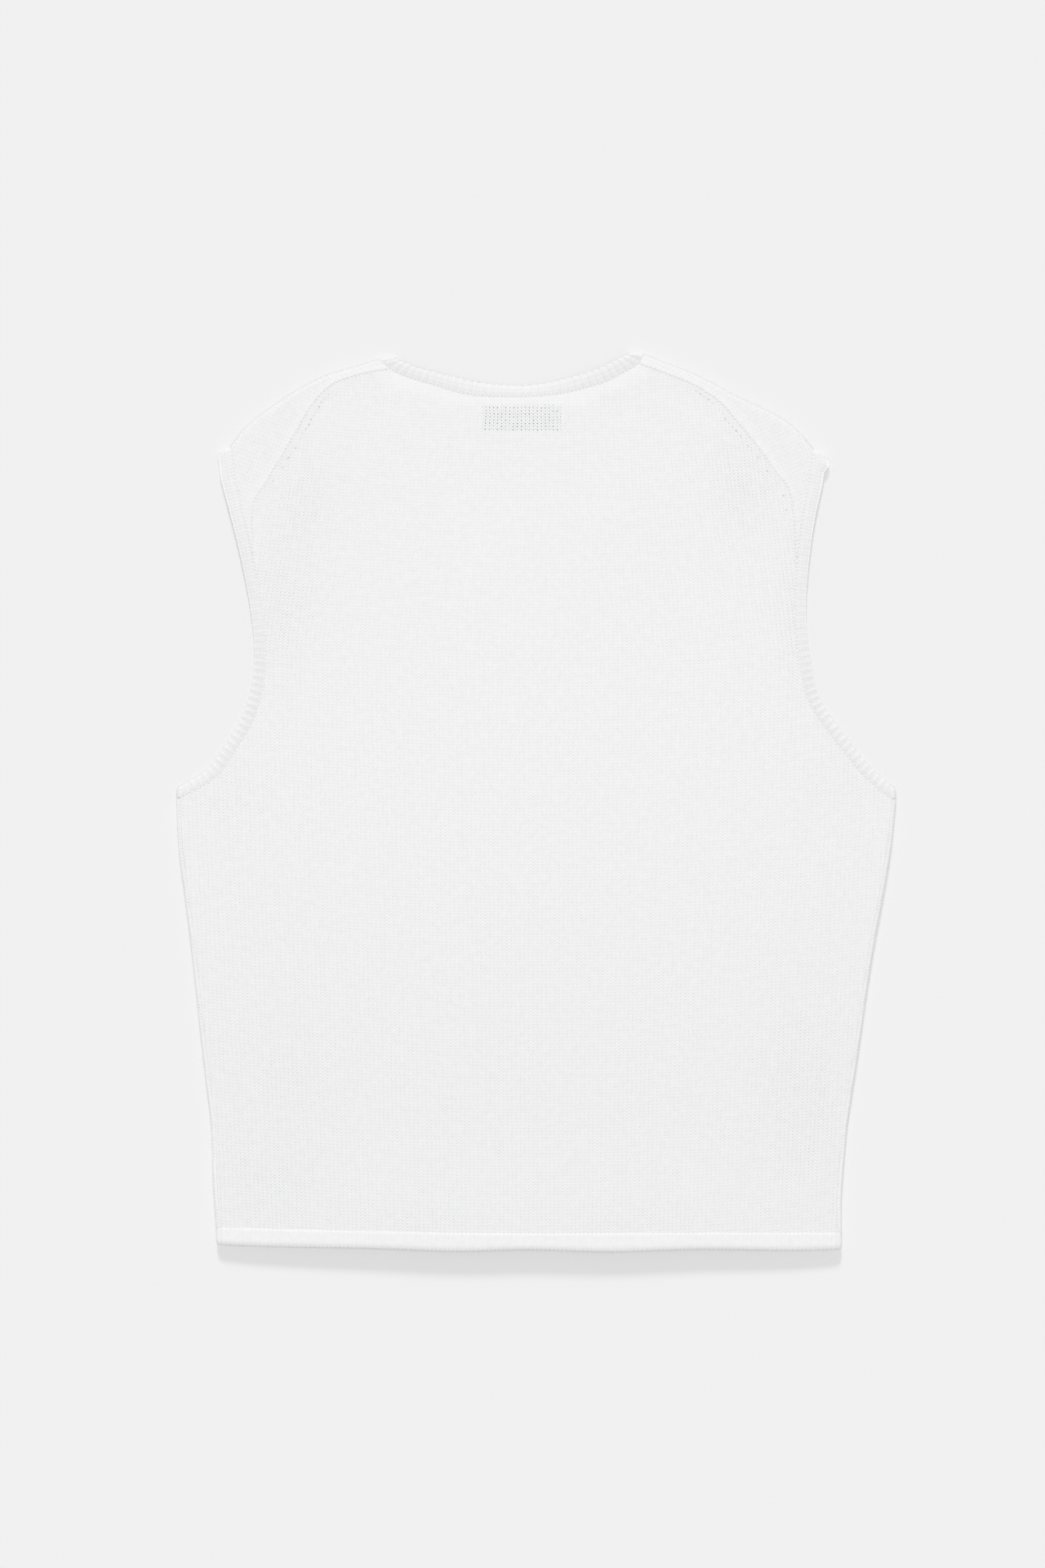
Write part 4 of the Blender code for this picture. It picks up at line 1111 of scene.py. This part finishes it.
class VEST_OT_back_knit(bpy.types.Operator):
    """Back of the vest: a lattice on its own wales and courses, with each wale raised as a soft column"""
    bl_idname = "vest.back_knit"
    bl_label = "Back Knit"

    def execute(self, context):
        sizes, colours = context.scene.vest_sizes, context.scene.vest_colours
        plan, faces = back_lattice()
        x, y = plan.T
        uv = stitch_place(x, y)
        rise = back_rise(x, y)
        seam = along_seam(x, y)
        wales = -sizes.wale_relief / MM / 2 * np.cos(2 * np.pi * uv[:, 0])
        beside_seam = ridge(distance_to_both(x, y, "seam"), *SEAM_RIDGE)
        outer = np.column_stack([plan, 2 * OUTSIDE + rise + wales + beside_seam])
        inner = np.column_stack([plan, OUTSIDE + INSIDE + rise])
        points, faces = shell(outer, inner, [faces])
        # Painted shade in the gaps and on the yarn, and painted light beside the neck trim
        gap_shade_amount = back_gap_shade(x, y)
        piece = new_piece("back_knit", points, faces, point_uv(faces, np.vstack([uv, uv])),
                          material_once("combed cotton plain knit", knit_material, colours, sizes),
                          {"gap_shade_amount": np.tile(gap_shade_amount, 2), "seam": np.tile(seam, (2, 1)),
                           "shade": np.tile(back_shade(x, y), 2), "light": np.tile(painted_neck_light(x, y), 2)})
        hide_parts("back_panel")
        return {"FINISHED"}


class VEST_OT_front_knit(bpy.types.Operator):
    """Front of the vest: flat on the surface, lapped over both shoulders to the seams and turned round the
    sides"""
    bl_idname = "vest.front_knit"
    bl_label = "Front Knit"

    def execute(self, context):
        sizes, colours = context.scene.vest_sizes, context.scene.vest_colours
        patches = [self.body()]
        patches += [make(sign, half) for sign, half in HALVES for make in (self.shoulder, self.side)]
        outer, inner, uv, lies, shade, light, quads = [], [], [], [], [], [], []
        first = 0
        for plan, turn, outward, rest in patches:
            shape = plan.shape[:2]
            turn = np.broadcast_to(turn, shape)
            outward = np.broadcast_to(outward, plan.shape)
            rise = back_rise(plan[..., 0], plan[..., 1]) * (1 - np.cos(turn)) / 2
            for faces, radius in ((outer, OUTSIDE), (inner, INSIDE)):
                points = lift(plan, turn, outward, np.full(shape, radius))
                points[..., 2] += rise
                faces.append(points.reshape(-1, 3))
            uv.append(stitch_place(rest[..., 0], rest[..., 1]).reshape(-1, 2))
            lies.append(np.ravel(turn))
            # Painted shade on the folds' sides that face +Y and on the lapped cloth, painted light on their
            # other sides
            over = np.maximum(outward[..., 1], 0.0)
            shade.append(np.ravel(SHOULDER_SHADE * np.sin(turn) * over + LAP_SHADE * (turn > ON_BACK)))
            light.append(np.ravel(EDGE_PAINTED_LIGHT * np.sin(turn) ** 3 * (1 - over)))
            quads.append(grid_faces(*shape, first))
            first += shape[0] * shape[1]
        outer, inner, uv, lies, shade, light, quads = (
            np.concatenate(part) for part in (outer, inner, uv, lies, shade, light, quads))
        _, keep, same = np.unique(np.round(outer, 3), axis=0, return_index=True, return_inverse=True)
        x, y = outer[keep][:, :2].T
        from_seam, on_back = distance_to_both(x, y, "seam"), lies[keep] > ON_BACK
        # Painted shade in the gaps, deeper to the hem and lighter beside the seams on the back
        gap_shade_amount = 0.46 + 0.12 * towards_hem(y)
        gap_shade_amount *= 1 - 0.3 * near(from_seam, 0, 9) * on_back
        outer, inner = outer[keep], inner[keep]
        outer[:, 2] += ridge(from_seam, *LAP_RIDGE) * on_back
        points, faces = shell(outer, inner, [same.reshape(-1)[quads]])
        far = np.full((len(points), 3), 99.0)
        piece = new_piece("front_knit", points, faces, point_uv(faces, np.vstack([uv[keep], uv[keep]])),
                          material_once("combed cotton plain knit", knit_material, colours, sizes),
                          {"gap_shade_amount": np.tile(gap_shade_amount, 2), "seam": far, "shade": np.tile(shade[keep], 2),
                           "light": np.tile(light[keep], 2)})
        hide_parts("front_panel")
        return {"FINISHED"}

    def body(self):
        """Rows from side to side up to the point of the V, the lowest ones bent to the hem band."""
        left, right = (
            placed(np.vstack([half["side_fold"], half["armhole"][1:V_ROW * ROW_STEPS + 1]]), sign)
            for sign, half in HALVES)
        middle = (left + right) / 2
        foot = placed(LEFT_LINES["v_panel"][0], -1)
        middle += (foot - middle[-1]) * np.linspace(0, 1, len(middle))[:, None] ** 2
        columns = np.linspace(0, 1, HALF_COLUMNS * COLUMN_STEPS + 1)
        plan = np.concatenate([mix(left, middle, columns), mix(middle, right, columns)[1:]]).swapaxes(0, 1)
        fade = np.linspace(1, 0, BENT_ROWS * SIDE_STEPS)[:, None]
        plan[:len(fade), :, 1] += fade * (hem_line(plan[0, :, 0], 2) + SEAM - plan[0, :, 1])
        return plan, np.zeros((1, 1)), np.zeros((1, 1, 2)), plan

    def shoulder(self, sign, half):
        """Up the front, round the shoulder fold and down the back to the seam. The knitting of the part on
        the back is that of the front, mirrored in the chord of the fold: place - 2 ((place - end) . n) n,
        with n across the chord. It starts a third of the way round the bend."""
        steps = HALF_COLUMNS * COLUMN_STEPS + 1
        foot = mix(half["armhole"][V_ROW * ROW_STEPS], half["v_panel"][0], np.linspace(0, 1, steps))
        crest, crest_out = half["crest"], half["crest_out"]
        rising = coons(half["armhole"][V_ROW * ROW_STEPS:], half["v_panel"], foot, crest)
        arm_side = half["armhole"][:SEAM_ROW * ROW_STEPS - 1:-1].copy()
        arm_side[-1] = half["lap"][0]
        neck_side = mix(crest[-1], half["lap"][-1], np.linspace(0, 1, len(arm_side)))
        falling = coons(arm_side, neck_side, crest, half["lap"])
        turns = np.arange(1, FOLD_STEPS) * np.pi / FOLD_STEPS
        bend = np.repeat(crest[None], len(turns), 0)
        turn = np.concatenate([np.zeros(len(rising)), turns, np.full(len(falling), np.pi)])[:, None]
        arc = (OUTSIDE + INSIDE) / 2
        chord = (crest[-1] - crest[0]) / np.linalg.norm(crest[-1] - crest[0])
        across = np.array([-chord[1], chord[0]])
        unbent = np.concatenate([bend + arc * (np.pi - turns[:, None, None]) * crest_out, falling])
        mirrored = unbent - 2 * ((unbent - crest[0]) @ across)[..., None] * across
        under = turns < np.pi / 3
        mirrored[:len(turns)][under] = (bend + arc * turns[:, None, None] * crest_out)[under]
        rest = np.concatenate([rising, mirrored])
        plan = np.concatenate([rising, bend, falling])
        return (ordered(placed(plan, sign), sign), turn, ordered(placed(crest_out, sign)[None], sign),
                ordered(placed(rest, sign), sign))

    def side(self, sign, half):
        """Round one side fold and a little way onto the back."""
        crease, outward = half["side_fold"], half["side_out"]
        outward = outward / np.linalg.norm(outward, axis=1, keepdims=True)
        turns = np.arange(FOLD_STEPS, -1, -1) * np.pi / FOLD_STEPS
        steps = np.concatenate([[np.pi], turns])
        plan = np.repeat(crease[:, None], len(steps), 1)
        plan[:, 0, 0] -= SIDE_TURN
        arc = (OUTSIDE + INSIDE) / 2 * steps
        arc[0] += SIDE_TURN
        rest = crease[:, None] + arc[None, :, None] * outward[:, None]
        outward = np.repeat(outward[:, None], len(steps), 1)
        return (ordered(placed(plan, sign), sign), ordered(steps[None], sign),
                ordered(placed(outward, sign), sign), ordered(placed(rest, sign), sign))


class VEST_OT_neck_rib(bpy.types.Operator):
    """Ribbed band round the neck: along the back on the upper layer, down and up the V on the lower one"""
    bl_idname = "vest.neck_rib"
    bl_label = "Neck Rib"

    def execute(self, context):
        sizes, colours = context.scene.vest_sizes, context.scene.vest_colours
        table = np.array(BACK_NECK)
        left, right = ([placed(half["shoulder_fold"][-1], sign), placed(half["shoulder_fold"][-2], sign),
                        placed(half["shoulder_out"][-1], sign), placed(half["shoulder_out"][-2], sign)]
                       for sign, half in HALVES)
        open_edge = dense_curve(np.vstack([left[0], table[:, :2], right[0]]), 8)
        joined = dense_curve(np.vstack([left[1], table[:, 2:], right[1]]), 8)
        v_left, v_right = ([placed(half[line], sign) for line in ("v_edge", "v_link")]
                           for sign, half in HALVES)
        run = station_run([
            stretch(open_edge, joined, np.pi, 1.0),
            turned(*right, up=False, ribbing=1.0),
            stretch(v_right[0][::-1], v_right[1][::-1], 0.0, 1.0),
            stretch(v_left[0][1:], v_left[1][1:], 0.0, 1.0),
            turned(*left, up=True, ribbing=1.0),
        ])
        material = material_once("cotton rib", rib_material, colours, sizes, (2.0, 3.5), 0.26)
        piece = band("neck_rib", run, TRIM_SECTION, material, sizes.rib_pitch / MM, sizes.rib_height / MM,
                     True, rise=neck_sag, thins=0.5 * EDGE_THINS, least_shade=NECK_SHADE)
        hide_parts("neck_trim")
        return {"FINISHED"}


class VEST_OT_armhole_ribs(bpy.types.Operator):
    """Ribbed band round each armhole: up the front, over the shoulder, down the back and round the
    underarm"""
    bl_idname = "vest.armhole_ribs"
    bl_label = "Armhole Ribs"

    def execute(self, context):
        sizes, colours = context.scene.vest_sizes, context.scene.vest_colours
        material = material_once("cotton rib", rib_material, colours, sizes, (2.0, 3.5), 0.26)
        for (sign, half), name, peeks in zip(HALVES, ("left", "right"), PEEKS):
            edge, link = (placed(half[line], sign) for line in ("edge", "link"))
            out = [placed(half["shoulder_out"][k], sign) for k in (0, 1)]
            side_out = placed(half["side_out"][-1], sign)
            height = edge[:, 1]
            away = placed(-normals(half["edge"]), sign)
            if sign > 0:
                bulge = TIP_BULGE * np.exp(-np.abs((height - TIP_HEIGHT) / TIP_REACH) ** TIP_SQUARENESS)
                edge = edge + away * bulge[:, None]
            ribbing = (RIBS_AT_TIP + RIBS_UPPER * smooth_step((230 - height) / 60)
                       + RIBS_LOWER * smooth_step((150 - height) / 90))
            peek = peeks * (1 - near(height, *PEEK_START)) * near(height, *PEEK_END)
            lower = edge + away * peek[:, None]
            run = station_run([
                stretch(lower, link, 0.0, ribbing),
                turned(edge[-1], link[-1], *out, up=True, ribbing=ribbing[-1]),
                stretch(edge[::-1], link[::-1], np.pi, ribbing[::-1]),
                turned(edge[0], link[0], side_out, side_out, up=False, ribbing=1.0),
            ])
            piece = band(f"armhole_rib_{name}", run, TRIM_SECTION, material, sizes.rib_pitch / MM,
                         sizes.rib_height / MM, True, thins=EDGE_THINS, least_shade=TRIM_SHADE)
            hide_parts(f"armhole_trim_{name}")
        return {"FINISHED"}


class VEST_OT_hem_bands(bpy.types.Operator):
    """Tubular hem bands: the front one turns round both sides, and the back one lies on it in a shallow
    arch"""
    bl_idname = "vest.hem_bands"
    bl_label = "Hem Bands"

    def execute(self, context):
        sizes, colours = context.scene.vest_sizes, context.scene.vest_colours
        material = material_once("cotton tubular hem", rib_material, colours, sizes, (1.0, 5.0), 0.15, 0.75)
        pitch = PITCHES[0][1]
        ends = []
        for sign, half in HALVES:
            x = sign * (half["side_fold"][0][0] + OUTSIDE - HEM_OUTSIDE)
            ends.append((x, placed(half["side_out"][0], sign)))
        (left, left_out), (right, right_out) = ends

        def edges(start, stop, count):
            """Lower and upper edge of the hem from one x to another."""
            x = np.linspace(start, stop, count + 1)
            return [np.column_stack([x, hem_line(x, column)]) for column in (1, 2)]

        left_end, right_end = ([edge[0] for edge in edges(x, x, 1)] for x in (left, right))
        run = station_run([
            stretch(*edges(left + SIDE_TURN, left, 1), np.pi, 1.0),
            turned(*left_end, left_out, left_out, up=False, ribbing=1.0),
            stretch(*edges(left, right, HEM_STEPS), 0.0, 1.0),
            turned(*right_end, right_out, right_out, up=True, ribbing=1.0),
            stretch(*edges(right, right - SIDE_TURN, 1), np.pi, 1.0),
        ])
        front = band("hem_band_front", run, HEM_SECTION, material, pitch, HEM_RELIEF, False, HEM_OUTSIDE,
                     HEM_CLOTH, least_shade=HEM_SHADE)
        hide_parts("hem_front")

        inset = SIDE_TURN + SIDE_GAP
        run = station_run([stretch(*edges(left + inset, right - inset, HEM_STEPS), np.pi, 1.0)])
        back = band("hem_band_back", run, HEM_SECTION, material, pitch, HEM_RELIEF, False, HEM_OUTSIDE,
                    HEM_CLOTH, rise=lambda x, across: hem_lift(x), least_shade=HEM_SHADE)
        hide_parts("hem_back")
        return {"FINISHED"}


class VEST_OT_label(bpy.types.Operator):
    """Blank woven label under the back, with its ends folded in"""
    bl_idname = "vest.label"
    bl_label = "Neck Label"

    def execute(self, context):
        colours = context.scene.vest_colours
        x, y = LABEL_MIDDLE
        length, width, thickness = LABEL_SIZE
        top = OUTSIDE + INSIDE - SEAM
        across, up = np.meshgrid(np.linspace(-1, 1, 61), np.linspace(-1, 1, 23))
        folded = smooth_step((np.abs(across) - LABEL_FOLD) / 0.03)
        folded *= smooth_step((1.0 - np.abs(across)) / 0.02)
        plan = np.stack([x + across * length / 2, y + up * width / 2], -1)
        upper = np.full(across.shape, top)
        lower = top - thickness * (LABEL_SINGLE + (1 - LABEL_SINGLE) * folded)
        outer, inner = (np.dstack([plan, z]).reshape(-1, 3) for z in (upper, lower))
        uv = np.stack([across * 0.5 * length / width, up * 0.5], -1).reshape(-1, 2)
        points, faces = shell(outer, inner, [grid_faces(*across.shape)])
        piece = new_piece("label_weave", points, faces, point_uv(faces, np.vstack([uv, uv])),
                          material_once("woven polyester satin", label_material, colours))
        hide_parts("neck_label")
        return {"FINISHED"}


class VEST_OT_linking(bpy.types.Operator):
    """Linking stitches: a chain of small yarn loops along the shoulder seams and the feet of the trims"""
    bl_idname = "vest.linking"
    bl_label = "Linking Stitches"

    def execute(self, context):
        sizes, colours = context.scene.vest_sizes, context.scene.vest_colours
        ends = [placed(half["shoulder_fold"][-2], sign) for sign, half in HALVES]
        neck = dense_curve(np.vstack([ends[0], np.array(BACK_NECK)[:, 2:], ends[1]]), 8)
        lines = {"linking_neck": (neck, *TRIM_CHAIN)}
        for (sign, half), name in zip(HALVES, ("left", "right")):
            lines[f"linking_shoulder_{name}"] = placed(half["seam"], sign), *SHOULDER_CHAIN
            lines[f"linking_armhole_{name}"] = placed(half["link"], sign), *TRIM_CHAIN
        material = material_once("combed cotton linking yarn", yarn_material, colours)
        for name, (line, width, proud) in lines.items():
            points, faces, uv = self.chain(line, sizes.chain_stitch / MM, width, proud)
            piece = new_piece(name, points, [faces], [uv], material)
        return {"FINISHED"}

    def chain(self, line, length, width, proud):
        """Loops of yarn along a line, each a closed bead: half its length along the path times sin(a)
        cos(b), its half width across it times sin(a) sin(b), and its height times cos(a), turned a little
        to one side."""
        at = distances(line)
        count = int(at[-1] / length)
        wanted = (np.arange(count) + 0.5) * at[-1] / count
        place = read_at(wanted, at, line)
        along = read_at(wanted, at, np.gradient(line, axis=0))
        along /= np.linalg.norm(along, axis=1, keepdims=True)
        slant = np.radians(CHAIN_SLANT)
        along = np.column_stack([along[:, 0] * np.cos(slant) - along[:, 1] * np.sin(slant),
                                 along[:, 0] * np.sin(slant) + along[:, 1] * np.cos(slant)])
        aside = np.column_stack([-along[:, 1], along[:, 0]])
        rings, spokes = 5, 8
        a = (np.arange(1, rings) * np.pi / rings)[:, None]
        b = (np.arange(spokes) * 2 * np.pi / spokes)[None]
        bead = np.stack([np.sin(a) * np.cos(b), np.sin(a) * np.sin(b), np.cos(a) + 0 * b], -1)
        bead = np.vstack([bead.reshape(-1, 3), [(0, 0, 1), (0, 0, -1)]])
        top = 2 * OUTSIDE + proud + back_rise(place[:, 0], place[:, 1])
        plan = (place[:, None] + along[:, None] * (bead[None, :, 0:1] * CHAIN_HALF_LENGTH * length)
                + aside[:, None] * (bead[None, :, 1:2] * width))
        points = np.dstack([plan, top[:, None] - CHAIN_HALF_HEIGHT + bead[None, :, 2] * CHAIN_HALF_HEIGHT])
        index = np.arange((rings - 1) * spokes).reshape(rings - 1, spokes)
        nxt = np.roll(index, -1, 1)
        body = np.stack([index[:-1], index[1:], nxt[1:], nxt[:-1]], -1).reshape(-1, 4)
        north, south = len(bead) - 2, len(bead) - 1
        cap = np.stack([np.full(spokes, north), index[0], nxt[0]], -1)
        foot = np.stack([np.full(spokes, south), nxt[-1], index[-1]], -1)
        triangles = np.concatenate([body[:, (0, 1, 2)], body[:, (0, 2, 3)], cap, foot])
        faces = (triangles[None] + len(bead) * np.arange(count)[:, None, None]).reshape(-1, 3)
        uv = np.tile(bead[:, :2], (count, 1))
        return points.reshape(-1, 3), faces, uv[faces]


class VEST_OT_stage(bpy.types.Operator):
    """Plain pale floor, soft studio light and the camera straight above"""
    bl_idname = "vest.stage"
    bl_label = "Stage"

    def execute(self, context):
        colours, lights = context.scene.vest_colours, context.scene.vest_lights
        mesh = bpy.data.meshes.new("floor")
        half, z = FLOOR_HALF, -FLOOR_BELOW * MM
        mesh.from_pydata([(-half, -half, z), (half, -half, z), (half, half, z), (-half, half, z)], [],
                         [(0, 1, 2, 3)])
        material, tree, shader = new_material("matt painted board", 0.9, 0.0)
        shader.inputs["Base Color"].default_value = (*colours.floor, 1.0)
        mesh.materials.append(material)
        floor = bpy.data.objects.new("floor", mesh)
        context.collection.objects.link(floor)

        self.sun(context, "overhead light", (0.0, 0.06, 1.0), lights.overhead, OVERHEAD_WIDTH)
        low = (KEY_ASIDE, np.cos(lights.key_height), np.sin(lights.key_height))
        self.sun(context, "key light", low, lights.key, KEY_WIDTH)
        world = bpy.data.worlds.new("studio fill")
        world.use_nodes = True
        background = world.node_tree.nodes["Background"]
        background.inputs["Color"].default_value = (1.0, 1.0, 1.0, 1.0)
        background.inputs["Strength"].default_value = lights.fill
        context.scene.world = world
        context.scene.view_settings.view_transform = "Standard"

        data = bpy.data.cameras.new("camera")
        data.lens = 100.0
        data.sensor_fit = "VERTICAL"
        data.sensor_height = 36.0
        data.clip_end = 50.0
        camera = bpy.data.objects.new("camera", data)
        aim = Vector(CAMERA_AIM) * MM
        camera.location = aim + Vector((0.0, 0.0, CAMERA_DISTANCE))
        context.collection.objects.link(camera)
        context.scene.camera = camera
        return {"FINISHED"}

    def sun(self, context, name, towards, strength, degrees):
        """A distant light seen in this direction, that wide across."""
        data = bpy.data.lights.new(name, "SUN")
        data.energy = strength
        data.angle = np.radians(degrees)
        light = bpy.data.objects.new(name, data)
        light.rotation_euler = Vector(towards).to_track_quat("Z", "Y").to_euler()
        light.location = Vector(towards).normalized() * 2.0
        context.collection.objects.link(light)


class VEST_PT_panel(bpy.types.Panel):
    """The vest's pieces and settings"""
    bl_idname = "VEST_PT_panel"
    bl_label = "Laid Sweater Vest"
    bl_space_type = "VIEW_3D"
    bl_region_type = "UI"
    bl_category = "Vest"

    def draw(self, context):
        layout = self.layout
        for group in (context.scene.vest_sizes, context.scene.vest_colours, context.scene.vest_lights):
            box = layout.box()
            for key in group.__annotations__:
                box.prop(group, key)
        for operator in OPERATORS:
            layout.operator(operator.bl_idname)


GROUPS = {"vest_sizes": VestSizes, "vest_colours": VestColours, "vest_lights": VestLights}
OPERATORS = (VEST_OT_back_knit, VEST_OT_front_knit, VEST_OT_neck_rib, VEST_OT_armhole_ribs,
             VEST_OT_hem_bands, VEST_OT_label, VEST_OT_linking, VEST_OT_stage)
CLASSES = (*GROUPS.values(), *OPERATORS, VEST_PT_panel)


def register():
    """Register the classes and hang the settings on the scene."""
    for cls in CLASSES:
        bpy.utils.register_class(cls)
    for key, cls in GROUPS.items():
        setattr(bpy.types.Scene, key, bpy.props.PointerProperty(type=cls))


def unregister():
    """Take the settings and the classes away again."""
    for key in GROUPS:
        delattr(bpy.types.Scene, key)
    for cls in reversed(CLASSES):
        bpy.utils.unregister_class(cls)


def main():
    """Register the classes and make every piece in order."""
    register()
    for operator in OPERATORS:
        group, name = operator.bl_idname.split(".")
        getattr(getattr(bpy.ops, group), name)()


if __name__ == "__main__":
    main()
